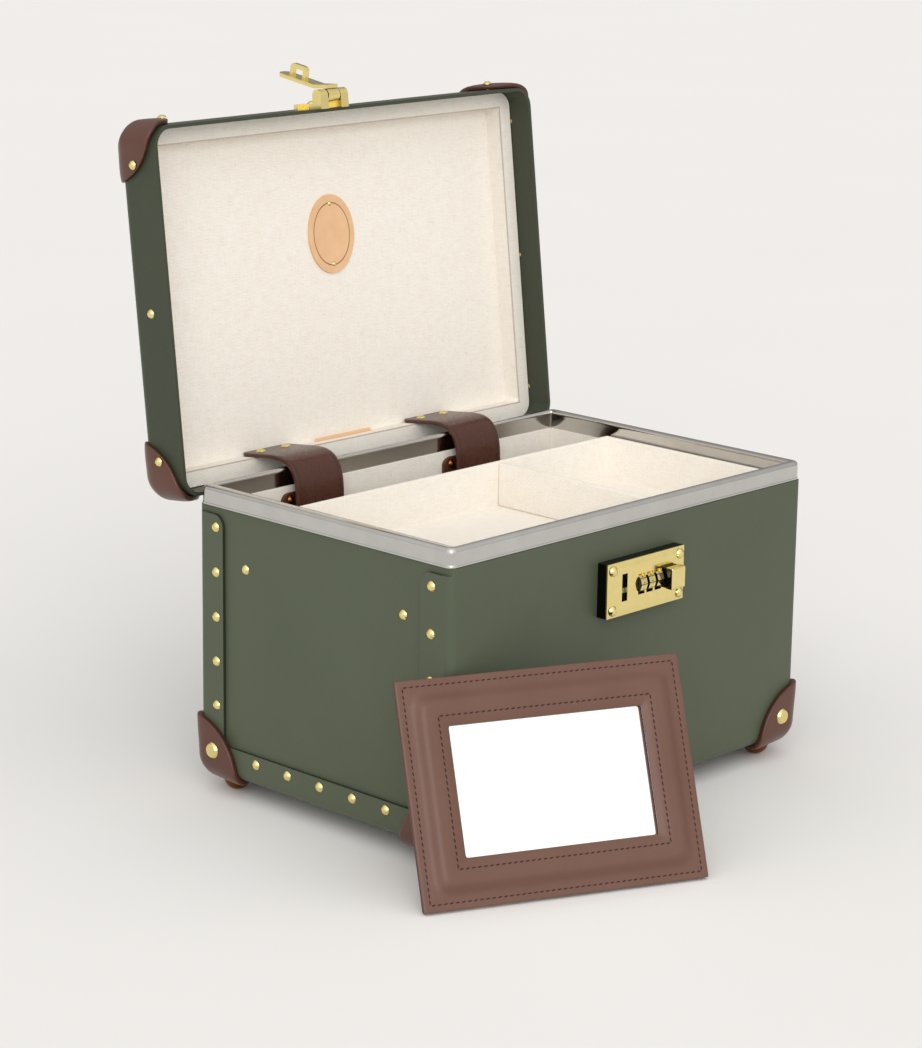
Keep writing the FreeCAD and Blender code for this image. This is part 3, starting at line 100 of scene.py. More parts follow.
class Finish:
    """A material: one Principled shader, its Object coordinates and the nodes that feed it."""

    def __init__(self, name, **constants):
        self.material = bpy.data.materials.new(name)
        self.material.use_nodes = True
        self.tree = self.material.node_tree
        self.shader = self.tree.nodes["Principled BSDF"]
        self.place = self.node("TexCoord", out="Object")
        self.feed(self.shader, {key.replace("_", " "): value for key, value in constants.items()})

    def feed(self, made, sockets):
        for key, value in sockets.items():
            if isinstance(value, Value):
                self.tree.links.new(value.socket, made.inputs[key])
            else:
                made.inputs[key].default_value = value

    def node(self, kind, settings=None, sockets=None, out=0):
        made = self.tree.nodes.new("ShaderNode" + kind)
        for key, value in (settings or {}).items():
            if key == "stops":
                ramp = made.color_ramp.elements
                while len(ramp) < len(value):
                    ramp.new(0.5)
                for stop, (position, shade) in zip(ramp, value):
                    stop.position = position
                    stop.color = shade
            else:
                setattr(made, key, value)
        self.feed(made, sockets or {})
        return Value(self, made.outputs[out])

    def noise(self, scale, detail=2.0, roughness=0.5, place=None):
        sockets = {"Vector": place or self.place, "Scale": scale, "Detail": detail, "Roughness": roughness}
        return self.node("TexNoise", {}, sockets)

    def blend(self, share, first, second):
        """Two colours mixed by a share."""
        sockets = {0: share, 6: first, 7: second}
        return self.node("Mix", {"data_type": "RGBA"}, sockets, out=2)

    def relief(self, height, distance, strength=1.0, under=None):
        sockets = {"Height": height, "Distance": distance, "Strength": strength}
        if under:
            sockets["Normal"] = under
        return self.node("Bump", {}, sockets)

    def paint(self, **sockets):
        self.feed(self.shader, {key.replace("_", " "): value for key, value in sockets.items()})


def colour(red, green, blue):
    """A colour as seen on screen, 0 to 255, as linear light."""
    linear = []
    for shade in (red, green, blue):
        share = shade / 255
        linear.append(share / 12.92 if shade < 10.3 else ((share + 0.055) / 1.055) ** 2.4)
    return (*linear, 1.0)


def dress(finish, *names):
    """Puts a finish on CAD nodes by name."""
    for name in names:
        node = nodes[name]
        node.data.materials.clear()
        node.data.materials.append(finish.material)


def fibre_finish(name, deep, pale):
    """Olive fibre between two tones. The bare cut of the laps shows as a dark line down the end panels."""
    fibre = Finish(name, Specular_IOR_Level=0.27)
    cloud = fibre.noise(9.0, 4.0)
    speck = fibre.noise(420.0, 2.0)
    pebble = fibre.noise(700.0, 3.0, 0.55)
    slow = fibre.noise(34.0, 2.0, 0.4)
    olive = fibre.blend(cloud, deep, pale)
    olive = fibre.blend(speck.above(0.66) * 0.07, olive, colour(95, 101, 83))
    x, y, z = (fibre.node("SeparateXYZ", {}, {0: fibre.place}, out=i) for i in range(3))
    facing = fibre.node("SeparateXYZ", {}, {0: fibre.node("TexCoord", out="Normal")})
    at_lap = abs(x).above(162.85 * mm) * (1 - abs(y).above(102.5 * mm)) * z.above(18 * mm)
    bare_cut = at_lap * (1 - abs(facing).above(0.4))
    olive = fibre.blend(bare_cut * 0.8, olive, colour(34, 36, 27))
    wavy = fibre.relief(slow, 0.9 * mm, 0.5)
    grain = fibre.relief(pebble, 0.16 * mm, 0.55, wavy)
    fibre.paint(Base_Color=olive, Roughness=0.33 + pebble * 0.12 + cloud * 0.06, Normal=grain)
    return fibre


fibre = fibre_finish("olive_fibre", colour(72, 79, 62), colour(83, 90, 72))
dress(fibre, "body_wrap", "side_panel_left", "side_panel_right")

# Solid brass furniture, polished and lacquered: lap rivets, ledge rivets and corner studs.
# Rivets are headed cold and the lacquer is a little uneven. The domed feet are brass painted in darker tones,
# as painted shade.
brass_tones = colour(242, 225, 156), colour(230, 210, 136)
brass = Finish("polished_brass", Metallic=1.0)
smear = brass.noise(160.0, 3.0)
hairline = brass.noise(2400.0, 1.0)
brass.paint(
    Base_Color=brass.blend(smear, *brass_tones),
    Roughness=0.08 + smear * 0.14,
    Normal=brass.relief(hairline, 0.02 * mm, 0.4),
)
dress(brass, "lap_rivets", "ledge_rivets", "corner_studs")
# A darker copy of the brass: its browner tones are painted shade, used on the feet and on the strap rivets on
# the body.
brass_in_shade = Finish("brass_in_painted_shade", Metallic=1.0)
blotch = brass_in_shade.noise(220.0, 3.0)
brass_in_shade.paint(
    Base_Color=brass_in_shade.blend(blotch, colour(150, 92, 42), colour(108, 62, 30)),
    Roughness=0.16 + blotch * 0.18,
    Normal=brass_in_shade.relief(blotch, 0.03 * mm, 0.4),
)
dress(brass_in_shade, "feet")

# Bottom corners: bridle leather pressed wet over the corner as three round lobes, edges inked and burnished.
# Each is held by two studs, and a domed foot is screwed on below it.


def leather_finish(name, deep, pale, dull, gloss, grain):
    """Brown leather between two tones, with creases and pores. dull is its least roughness."""
    leather = Finish(name, Specular_IOR_Level=gloss)
    hide = leather.noise(28.0, 4.0)
    pores = leather.node("TexVoronoi", {}, {"Vector": leather.place, "Scale": 900.0})
    creases = leather.noise(260.0, 5.0, 0.6)
    leather.brown = leather.blend(hide, deep, pale)
    leather.skin = creases + pores * 0.15
    leather.paint(
        Base_Color=leather.brown,
        Roughness=dull + creases * 0.12,
        Normal=leather.relief(leather.skin, 0.12 * mm, grain),
    )
    return leather


bridle = leather_finish("bridle_leather", colour(80, 48, 37), colour(94, 60, 47), 0.26, 0.4, 0.3)
edge_ink = Finish("inked_edge", Specular_IOR_Level=0.5)
worn = edge_ink.noise(300.0, 3.0)
edge_ink.paint(
    Base_Color=edge_ink.blend(worn, colour(58, 28, 21), colour(84, 44, 33)),
    Roughness=0.28 + worn * 0.2,
    Normal=edge_ink.relief(worn, 0.1 * mm, 0.3),
)


def open_edit(piece):
    bpy.ops.object.select_all(action="DESELECT")
    piece.select_set(True)
    bpy.context.view_layer.objects.active = piece
    bpy.ops.object.mode_set(mode="EDIT")


def pick(piece, kind, test):
    """Selects the corners, edges or faces of a piece in edit mode whose middle passes a test."""
    bpy.context.tool_settings.mesh_select_mode = [kind == k for k in ("VERT", "EDGE", "FACE")]
    bpy.ops.mesh.select_all(action="DESELECT")
    form = bmesh.from_edit_mesh(piece.data)
    for part in {"VERT": form.verts, "EDGE": form.edges, "FACE": form.faces}[kind]:
        if kind == "VERT":
            middle = part.co
        elif kind == "EDGE":
            middle = (part.verts[0].co + part.verts[1].co) / 2
        else:
            middle = part.calc_center_median()
        if test(middle):
            part.select_set(True)
    form.select_flush_mode()
    bmesh.update_edit_mesh(piece.data)


def refine(piece, *modifiers):
    """Adds modifiers with their settings and applies them in turn."""
    bpy.context.view_layer.objects.active = piece
    for kind, settings in modifiers:
        added = piece.modifiers.new(kind, kind)
        for key, value in settings.items():
            setattr(added, key, value)
        bpy.ops.object.modifier_apply(modifier=added.name)


def settle(piece, place, finish, angle=40):
    """Applies a place to a finished mesh, gives it its finish and smooths its shading."""
    bpy.ops.object.select_all(action="DESELECT")
    piece.select_set(True)
    bpy.context.view_layer.objects.active = piece
    piece.matrix_world = place @ piece.matrix_world
    bpy.ops.object.transform_apply(location=True, rotation=True, scale=True)
    if place.determinant() < 0:
        open_edit(piece)
        bpy.ops.mesh.select_all(action="SELECT")
        bpy.ops.mesh.flip_normals()
        bpy.ops.object.mode_set(mode="OBJECT")
    if not piece.data.materials:
        piece.data.materials.append(finish.material)
    bpy.ops.object.shade_smooth_by_angle(angle=math.radians(angle))


def sharp_edges(angle):
    """Bevel settings that take only the edges sharper than an angle."""
    return {"limit_method": "ANGLE", "angle_limit": math.radians(angle)}


def leather_cap(name, reach, thick, fold, tip_thick, tip_fold):
    """A cap over a box corner at the origin whose edges run to +X, +Y and +Z.

    It is half a ball, laid onto the three faces as three quarter discs and rounded over the edges, full at
    the corner and thinner at the lobes' tips.
    """
    bpy.ops.object.select_all(action="DESELECT")
    bpy.ops.mesh.primitive_uv_sphere_add(segments=48, ring_count=40, radius=1.0)
    cap = bpy.context.object
    cap.name = name
    open_edit(cap)
    pick(cap, "VERT", lambda at: at.z > 0.001)
    bpy.ops.mesh.delete(type="VERT")
    bpy.ops.object.mode_set(mode="OBJECT")
    axes = (Vector((1, 0, 0)), Vector((0, 1, 0)), Vector((0, 0, 1)))
    for vertex in cap.data.vertices:
        far = math.acos(max(-1.0, min(1.0, -vertex.co.z))) / (math.pi / 2)
        turn = math.degrees(math.atan2(vertex.co.y, vertex.co.x)) % 360
        lobe = int(turn // 120) % 3
        sweep = math.radians((turn - 120 * lobe) * 0.75)
        proud = thick + (tip_thick - thick) * far**8
        bend = fold + (tip_fold - fold) * far**2
        flat = (axes[lobe] * math.cos(sweep) + axes[(lobe + 1) % 3] * math.sin(sweep)) * (reach + proud) * far
        core = Vector(max(c, bend) for c in flat)
        vertex.co = core + (flat - core).normalized() * bend - Vector((proud, proud, proud))
    open_edit(cap)
    bpy.ops.mesh.select_all(action="SELECT")
    bpy.ops.mesh.normals_make_consistent(inside=False)
    bpy.ops.object.mode_set(mode="OBJECT")
    middle = cap.data.polygons[0]
    if middle.normal.dot(Vector((-1, -1, -1))) < 0:
        open_edit(cap)
        bpy.ops.mesh.select_all(action="SELECT")
        bpy.ops.mesh.flip_normals()
        bpy.ops.object.mode_set(mode="OBJECT")
    cap.data.materials.append(bridle.material)
    cap.data.materials.append(edge_ink.material)
    refine(
        cap,
        ("SOLIDIFY", {"thickness": tip_thick, "offset": -1.0, "material_offset_rim": 1}),
        ("BEVEL", {"width": 0.3 * tip_thick, "segments": 3, **sharp_edges(50)}),
    )
    return cap


SIDES = {"left": -1, "right": 1}
ENDS = {"front": -1, "back": 1}
body_half = Vector((165 * mm, 110.25 * mm, 0))
body_low = 13 * mm
for side, x in SIDES.items():
    for end, y in ENDS.items():
        cap = leather_cap(f"bottom_corner_{end}_{side}", 38 * mm, 4.6 * mm, 16 * mm, 4.0 * mm, 10.4 * mm)
        place = Matrix.Translation((x * body_half.x, y * body_half.y, body_low))
        settle(cap, place @ Matrix.Diagonal((-x, -y, 1, 1)), bridle)
        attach(cap, "case")
        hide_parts(f"leather_corner_{end}_{side}")

# Rim round the mouth: rolled strip, nickel plated and polished, clipped over a wooden valance.
# Polishing leaves fine lines along the strip.
nickel = Finish("polished_nickel", Metallic=1.0)
haze = nickel.noise(60.0, 3.0)
lines = nickel.noise(1800.0, 1.0)
nickel.paint(
    Base_Color=nickel.blend(haze, colour(205, 203, 200), colour(186, 184, 180)),
    Roughness=0.07 + haze * 0.08,
    Normal=nickel.relief(lines, 0.01 * mm, 0.35),
)
# Its section runs from the lower lip up the outside, over the top and down the inside.
# Each point is half the width in X, half in Y, the corner's radius and the height, all in mm.
rim_section = (
    (163.9, 109.15, 4.6, 187.95), (164.25, 109.5, 5.0, 188.25), (164.3, 109.55, 5.0, 188.75),
    (164.1, 109.35, 4.9, 189.4), (163.95, 109.2, 4.8, 190.2), (163.95, 109.2, 4.8, 193.5),
    (163.95, 109.2, 4.8, 196.4), (163.85, 109.1, 4.7, 197.9), (163.4, 108.65, 4.4, 199.1),
    (162.6, 107.85, 3.8, 199.9), (161.4, 107.0, 3.2, 200.25), (159.8, 106.2, 2.6, 200.3),
    (158.2, 105.3, 2.2, 200.15), (157.1, 104.55, 1.8, 199.6), (156.75, 104.2, 1.6, 198.6),
    (156.85, 104.3, 1.5, 197.4), (157.05, 104.5, 1.5, 196.4), (157.05, 104.5, 1.5, 190.0),
    (157.05, 104.5, 1.5, 182.1), (157.55, 105.0, 1.5, 182.1), (157.6, 105.05, 1.5, 187.2),
    (162.0, 107.6, 3.6, 187.4),
)
corner_cuts = 12
columns = 4 * corner_cuts
bpy.ops.object.select_all(action="DESELECT")
bpy.ops.mesh.primitive_torus_add(
    major_segments=columns, minor_segments=len(rim_section), major_radius=1.0, minor_radius=0.25
)
rim = bpy.context.object
rim.name = "rolled_rim"
for vertex in rim.data.vertices:
    column = round(math.atan2(vertex.co.y, vertex.co.x) / math.tau * columns) % columns
    out = math.hypot(vertex.co.x, vertex.co.y) - 1.0
    row = round(math.atan2(vertex.co.z, out) / math.tau * len(rim_section)) % len(rim_section)
    half_x, half_y, corner, height = rim_section[row]
    quarter, cut = divmod(column, corner_cuts)
    turn = math.pi / 2 * (quarter + cut / (corner_cuts - 1))
    sign_x, sign_y = ((1, 1), (-1, 1), (-1, -1), (1, -1))[quarter]
    vertex.co.x = (sign_x * (half_x - corner) + corner * math.cos(turn)) * mm
    vertex.co.y = (sign_y * (half_y - corner) + corner * math.sin(turn)) * mm
    vertex.co.z = height * mm
open_edit(rim)
bpy.ops.mesh.select_all(action="SELECT")
bpy.ops.mesh.normals_make_consistent(inside=False)
bpy.ops.object.mode_set(mode="OBJECT")
settle(rim, Matrix.Identity(4), nickel, 35)
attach(rim, "case")
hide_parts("rim")
wood = Finish("limewood", Specular_IOR_Level=0.3)
stretched = wood.node("Mapping", {}, {"Vector": wood.place, "Scale": (6.0, 60.0, 60.0)})
rings = wood.noise(6.0, 4.0, 0.6, stretched)
wood.paint(
    Base_Color=wood.blend(rings, colour(176, 142, 100), colour(206, 176, 134)),
    Roughness=0.6 + rings * 0.15,
    Normal=wood.relief(rings, 0.2 * mm, 0.4),
)
dress(wood, "valance_frame", "tray_ledge_left", "tray_ledge_right")

# Lining boards: thin card covered with unbleached linen, glued to the walls and floor of the body.
# Plain weave of just under a millimetre with thicker slubs and a few dark flecks of husk.
hinge_line = Vector((0, 118.83 * mm, 186.95 * mm))


def linen_finish(name, tilt):
    """Linen whose threads run square to a board. Tilt turns the weave about the hinges."""
    cloth = Finish(name, Specular_IOR_Level=0.12)
    turned = {"rotation_type": "X_AXIS"}
    place = cloth.node("VectorRotate", turned, {"Vector": cloth.place, "Center": hinge_line, "Angle": tilt})
    facing = cloth.node("TexCoord", out="Normal")
    facing = cloth.node("VectorRotate", turned, {"Vector": facing, "Angle": tilt})
    x, y, z = (cloth.node("SeparateXYZ", {}, {0: place}, out=i) for i in range(3))
    on_x = abs(cloth.node("SeparateXYZ", {}, {0: facing}, out=0)).above(0.6)
    on_z = abs(cloth.node("SeparateXYZ", {}, {0: facing}, out=2)).above(0.6)
    across = x * (1 - on_x) + y * on_x
    along = z * (1 - on_z) + y * on_z
    ply = cloth.node("CombineXYZ", {}, {0: across, 1: along})
    along_weft = cloth.node("Mapping", {}, {"Vector": ply, "Scale": (120.0, 1700.0, 1.0)})
    along_warp = cloth.node("Mapping", {}, {"Vector": ply, "Scale": (1700.0, 120.0, 1.0)})
    weft_slub = cloth.noise(1.0, 3.0, 0.6, along_weft)
    warp_slub = cloth.noise(1.0, 3.0, 0.6, along_warp)
    thread = math.pi / (0.85 * mm)
    warp = cloth.node("Math", {"operation": "COSINE"}, {0: across * thread + warp_slub * 2.6})
    weft = cloth.node("Math", {"operation": "COSINE"}, {0: along * thread + weft_slub * 2.6})
    over = warp * weft * 0.5 + 0.5
    height = (warp * warp * over).most(weft * weft * (1 - over))
    streak = weft_slub * 0.6 + warp_slub * 0.4
    husk = cloth.noise(420.0, 1.0, 0.5, ply).above(0.75)
    dapple = cloth.noise(90.0, 3.0, 0.6, ply)
    flax = [(0.3, colour(239, 228, 213)), (0.5, colour(253, 249, 242)), (0.68, colour(255, 254, 250))]
    tone = cloth.node("ValToRGB", {"stops": flax}, {"Fac": streak * 0.88 + dapple * 0.12})
    tone = cloth.blend(husk * 0.35, tone, colour(205, 172, 132))
    # The weave's low hollows between the threads are painted darker, as painted shade.
    tone = cloth.blend((1 - height) * 0.5, tone, colour(206, 192, 172))
    cloth.spot, cloth.tone = (x, y, z), tone
    cloth.paint(
        Base_Color=tone,
        Roughness=0.78 + streak * 0.15,
        Normal=cloth.relief(height + streak * 0.8, 0.25 * mm, 0.6),
    )
    return cloth


linen = linen_finish("linen", 0.0)
dress(linen, "lining_front", "lining_back", "lining_left", "lining_right", "lining_floor")

# Lift-out tray: five card boards glued up and wrapped in the same linen, turned over the top edges.
# A linen divider stands in it, a little lower than the walls.
tray_low, tray_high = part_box("tray")
tray_wall = 3 * mm
bpy.ops.object.select_all(action="DESELECT")
tray_middle = (tray_low + tray_high) / 2
bpy.ops.mesh.primitive_cube_add(size=1.0, location=tray_middle, scale=tray_high - tray_low)
tray = bpy.context.object
tray.name = "linen_tray"
bpy.ops.object.transform_apply(location=True, rotation=True, scale=True)
open_edit(tray)
pick(tray, "FACE", lambda at: at.z > tray_high.z - 0.1 * mm)
bpy.ops.mesh.inset(thickness=tray_wall)
down_to_floor = (0, 0, tray_low.z + tray_wall - tray_high.z)
bpy.ops.mesh.extrude_region_move(TRANSFORM_OT_translate={"value": down_to_floor})
bpy.ops.object.mode_set(mode="OBJECT")
refine(tray, ("BEVEL", {"width": 0.9 * mm, "segments": 3, "limit_method": "ANGLE"}))
settle(tray, Matrix.Identity(4), linen, 30)
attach(tray, "tray")
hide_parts("tray")
divider_low, divider_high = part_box("tray_divider")
bpy.ops.object.select_all(action="DESELECT")
divider_middle = (divider_low + divider_high) / 2
bpy.ops.mesh.primitive_cube_add(size=1.0, location=divider_middle, scale=divider_high - divider_low)
divider = bpy.context.object
divider.name = "linen_divider"
bpy.ops.object.transform_apply(location=True, rotation=True, scale=True)
refine(divider, ("BEVEL", {"width": 1.2 * mm, "segments": 4, "limit_method": "ANGLE"}))
settle(divider, Matrix.Identity(4), linen, 30)
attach(divider, "tray")
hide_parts("tray_divider")

# Combination lock: a black lacquered case let into the front wall and a bevelled brass plate on it.
# Four domed screws, three ten-sided brass dials on a steel axle, and a sliding knob with a brass cap.
lacquer = Finish("black_lacquer", Specular_IOR_Level=0.12)
film = lacquer.noise(500.0, 2.0)
lacquer.paint(
    Base_Color=lacquer.blend(film, colour(5, 5, 5), colour(10, 10, 9)),
    Roughness=0.14 + film * 0.12,
    Normal=lacquer.relief(film, 0.04 * mm, 0.3),
)
dress(lacquer, "lock_case", "knob_base")
dress(brass, "lock_plate", "lock_screws")


def sided_brass(name):
    """Brass whose faces to the left and right are painted black as painted shade, so that the gaps beside it
    read dark.
    """
    metal = Finish(name)
    facing = metal.node("SeparateXYZ", {}, {0: metal.node("TexCoord", out="Normal")})
    # Faces turned to the left or right are painted black: painted shade.
    shaded_sides = abs(facing).above(0.7)
    rub = metal.noise(160.0, 3.0)
    metal.gold = metal.blend(shaded_sides, metal.blend(rub, *brass_tones), colour(8, 8, 7))
    metal.paint(Base_Color=metal.gold, Metallic=1 - shaded_sides, Roughness=0.08 + rub * 0.14)
    return metal


knob_brass = sided_brass("knob_brass")
dress(knob_brass, "knob_cap")
dial_y, dial_z = -115.2 * mm, 151.3 * mm
dial_facets = 10
dial_brass = sided_brass("dial_brass")
y, z = (dial_brass.node("SeparateXYZ", {}, {0: dial_brass.place}, out=i) for i in (1, 2))
turn = dial_brass.node("Math", {"operation": "ARCTAN2"}, {0: z - dial_z, 1: y - dial_y})
facet = dial_brass.node("Math", {"operation": "FRACT"}, {0: turn * (dial_facets / math.tau) + 10.5})
ridge = 1 - abs(facet - 0.5).above(0.07)
dial_brass.paint(Base_Color=dial_brass.blend(ridge * 0.85, dial_brass.gold, colour(30, 24, 12)))
dress(dial_brass, "dial_1", "dial_2", "dial_3")
for wheel, x in enumerate((-4.8, 3.0, 10.8), 1):
    figures = []
    for number in range(dial_facets):
        bpy.ops.object.select_all(action="DESELECT")
        bpy.ops.object.text_add()
        figure = bpy.context.object
        figure.data.body = str(number)
        figure.data.size = 3.6 * mm
        figure.data.align_x, figure.data.align_y = "CENTER", "CENTER"
        figure.data.resolution_u = 2
        figure.data.extrude = 0.03 * mm
        bpy.ops.object.convert(target="MESH")
        figure.matrix_world = (
            Matrix.Translation((x * mm, dial_y, dial_z))
            @ Matrix.Rotation(math.tau / dial_facets * number, 4, "X")
            @ Matrix.Translation((0, -6.34 * mm, 0))
            @ Matrix.Rotation(math.pi / 2, 4, "X")
        )
        bpy.ops.object.transform_apply(location=True, rotation=True, scale=True)
        figures.append(figure)
    bpy.ops.object.select_all(action="DESELECT")
    for figure in figures:
        figure.select_set(True)
    bpy.context.view_layer.objects.active = figures[0]
    bpy.ops.object.join()
    numbers = bpy.context.object
    numbers.name = f"dial_numbers_{wheel}"
    settle(numbers, Matrix.Identity(4), lacquer)
    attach(numbers, f"dial_wheel_{wheel}")
steel = Finish("drawn_steel", Metallic=1.0)
drawn = steel.noise(900.0, 2.0)
steel.paint(
    Base_Color=steel.blend(drawn, colour(150, 150, 152), colour(176, 176, 178)),
    Roughness=0.25 + drawn * 0.15,
    Normal=steel.relief(drawn, 0.02 * mm, 0.4),
)
dress(steel, "dial_axle", "dial_spring", "lock_bolt")

# Lid: a deep fibre tray with folded corners, hung open behind the body, with four leather corners.
# Small brass rivets hold the corners and the sides.
# The lid's fibre takes darker tones than the body's, as painted shade.
shaded_lid_fibre = fibre_finish("shaded_lid_fibre", colour(54, 60, 46), colour(62, 68, 53))
dress(shaded_lid_fibre, "lid_shell")
dress(brass, "lid_rivets")
open_angle = math.radians(96.7)
opened = (
    Matrix.Translation(hinge_line)
    @ Matrix.Rotation(-open_angle, 4, "X")
    @ Matrix.Translation(-hinge_line)
)
lid_half = Vector((170.25 * mm, 115.85 * mm, 0))
lid_top = 220.1 * mm
for side, x in SIDES.items():
    for end, y in ENDS.items():
        cap = leather_cap(f"lid_corner_{end}_{side}_cap", 34.5 * mm, 4.2 * mm, 17 * mm, 3.2 * mm, 14 * mm)
        at = (x * lid_half.x, y * lid_half.y, lid_top)
        settle(cap, opened @ Matrix.Translation(at) @ Matrix.Diagonal((-x, -y, -1, 1)), bridle)
        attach(cap, "lid")
        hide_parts(f"lid_corner_{end}_{side}")

# Lid lining: a linen-covered border frame and a linen panel behind it, both on card.
# A tan patch is painted in a notch of the border, partly tan hide and partly painted shade, and a thin brown
# band of painted shade runs along the border's inner edge.
lid_linen = linen_finish("lid_linen", open_angle)
dress(lid_linen, "lid_lining_frame", "lid_panel")
x, y, z = lid_linen.spot
# The tan patch stands for the notch's face: partly tan hide, partly painted shade.
tab_edge = 100.9 * mm
tab_half = 25 * mm + (y - tab_edge) * 0.9
tab = (1 - (abs(x + 3 * mm) - tab_half).above(0.0)) * y.above(tab_edge) * (1 - y.above(105.8 * mm))
tab = tab * z.above(209.2 * mm)
# A thin band along the border's inner edge is painted brown: painted shade where the panel meets the border.
past_shade_band = abs(x).above(157.9 * mm).most(abs(y).above(103.5 * mm))
fold = abs(x).above(157.0 * mm).most(abs(y).above(102.6 * mm)) * (1 - past_shade_band)
fold = fold * (1 - z.above(202 * mm))
with_edge_shade = lid_linen.blend(fold * 0.5, lid_linen.tone, colour(150, 112, 84))
lid_linen.paint(Base_Color=lid_linen.blend(tab, with_edge_shade, colour(236, 202, 160)))

# Badge: a plain oval of tan hide on the panel, with a ruled border and two brass pins.
# The line is burnt in 5 mm inside the edge with a hot wheel.
tan = Finish("tan_hide", Specular_IOR_Level=0.3)
bloom = tan.noise(120.0, 4.0)
closed = tan.node(
    "VectorRotate",
    {"rotation_type": "X_AXIS"},
    {"Vector": tan.place, "Center": hinge_line, "Angle": open_angle},
)
x, y = (tan.node("SeparateXYZ", {}, {0: closed}, out=i) for i in range(2))
across, down = x / (20.5 * mm), (y + 32.15 * mm) / (26 * mm)
oval = (across * across + down * down) ** 0.5
ruled = 1 - abs(oval - 0.79).above(0.016)
hide = tan.blend(bloom, colour(214, 170, 126), colour(232, 192, 150))
tan.paint(
    Base_Color=tan.blend(ruled * 0.85, hide, colour(122, 78, 48)),
    Roughness=0.5 + bloom * 0.15,
    Normal=tan.relief(bloom - ruled * 1.5, 0.1 * mm, 0.4),
)
dress(tan, "badge")
dress(brass, "badge_pins")

# Hasp: a cast brass base on the lid front with two knuckles, a pin, and a cranked arm with a staple.
# It is polished and lacquered like the lock it closes on, and lies folded back on the open lid.
dress(brass, "hasp_base", "hasp_arm", "hasp_pin")

# Hinges: two brass butts on the back, one leaf on the body and one on the lid.
# The leaves are riveted through the fibre, and drawn steel pins run through their knuckles.
dress(brass, "hinge_body_leaves", "hinge_lid_leaves", "hinge_body_rivets")
dress(steel, "hinge_pins")

# Straps: two strips of smooth bridle leather that stop the lid, creased along both edges.
# Each is riveted inside the lid's back wall and rolls over the rim.
# It ends in a wide tab riveted to the back lining.


def flowing(points):
    """A smooth route through points."""
    route = []
    for i, (first, second) in enumerate(zip(points, points[1:])):
        before, after = points[max(i - 1, 0)], points[min(i + 2, len(points) - 1)]
        leave, arrive = first + (second - before) / 6, second - (after - first) / 6
        route += geometry.interpolate_bezier(first, leave, arrive, second, 12)[:-1]
    return route + [points[-1]]


def lay_along(piece, route, across):
    """Bends a straight piece, 0 to 1 along X with Y across and Z its thickness, onto a route."""
    steps = [(b - a).length for a, b in zip(route, route[1:])]
    whole = sum(steps)
    for vertex in piece.data.vertices:
        left = min(max(vertex.co.x, 0.0), 1.0) * whole
        leg = 0
        while leg < len(steps) - 1 and left > steps[leg]:
            left -= steps[leg]
            leg += 1
        way = (route[leg + 1] - route[leg]).normalized()
        before = (route[leg] - route[leg - 1]).normalized() if leg else way
        after = (route[leg + 2] - route[leg + 1]).normalized() if leg < len(steps) - 1 else way
        share = left / steps[leg]
        along = ((before + way) * (1 - share) + (way + after) * share).normalized()
        at = route[leg] + way * left
        vertex.co = at + across * vertex.co.y + along.cross(across) * vertex.co.z


def length_of(route):
    return sum((b - a).length for a, b in zip(route, route[1:]))


strap_x = 74 * mm
strap_leather = leather_finish("strap_leather", colour(70, 39, 28), colour(78, 45, 33), 0.22, 0.32, 0.08)
x = strap_leather.node("SeparateXYZ", {}, {0: strap_leather.place})
crease = 1 - abs(abs(abs(x) - strap_x) - 17.4 * mm).above(0.4 * mm)
strap_leather.paint(
    Base_Color=strap_leather.blend(crease * 0.7, strap_leather.brown, colour(40, 22, 16)),
    Normal=strap_leather.relief(strap_leather.skin - crease * 6.0, 0.12 * mm, 0.05),
)
strap_points = (
    (147.6, 201.2), (140, 202.05), (131, 203.1), (121, 204.3), (111, 204.4), (103.2, 201.7),
    (98, 195.4), (95.4, 186), (94.8, 172), (95.0, 156), (95.6, 144), (97.2, 140),
    (99.2, 139.3), (101.2, 141), (102.2, 147), (102.2, 160), (102.2, 184),
)
strap_route = flowing([Vector((0, y * mm, z * mm)) for y, z in strap_points])
strap_length = length_of(strap_route)


def strap_half(from_lid):
    """Half the strap's width at a distance from its lid end: wide at the tab, round at both ends."""
    from_tab = strap_length - from_lid
    half = 20.5 * mm + 6.5 * mm * min(max((32 * mm - from_tab) / (2 * mm), 0.0), 1.0)
    for left, corner in ((from_lid, 4 * mm), (from_tab, 6 * mm)):
        if left < corner:
            half -= corner - math.sqrt(max(corner**2 - (corner - left) ** 2, 0.0))
    return half


for side, x in SIDES.items():
    bpy.ops.object.select_all(action="DESELECT")
    bpy.ops.mesh.primitive_grid_add(x_subdivisions=150, y_subdivisions=12, size=1.0, location=(0.5, 0, 0))
    strap = bpy.context.object
    strap.name = f"leather_strap_{side}"
    bpy.ops.object.transform_apply(location=True, rotation=True, scale=True)
    for vertex in strap.data.vertices:
        vertex.co.y *= 2 * strap_half(vertex.co.x * strap_length)
    lay_along(strap, strap_route, Vector((1, 0, 0)))
    strap.data.materials.append(strap_leather.material)
    strap.data.materials.append(edge_ink.material)
    refine(
        strap,
        ("SOLIDIFY", {"thickness": 2.5 * mm, "offset": 0.0, "material_offset_rim": 1}),
        ("BEVEL", {"width": 0.55 * mm, "segments": 2, **sharp_edges(50)}),
    )
    settle(strap, Matrix.Translation((x * strap_x, 0, 0)), strap_leather)
    on_case, on_lid = (x * strap_x, 100 * mm, 190 * mm), (x * strap_x, 128 * mm, 206 * mm)
    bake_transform(strap)
    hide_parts(f"strap_{side}")
dress(brass, "strap_rivets_lid")
# The tab's rivets take the darker brass, painted shade.
dress(brass_in_shade, "strap_rivets_body")

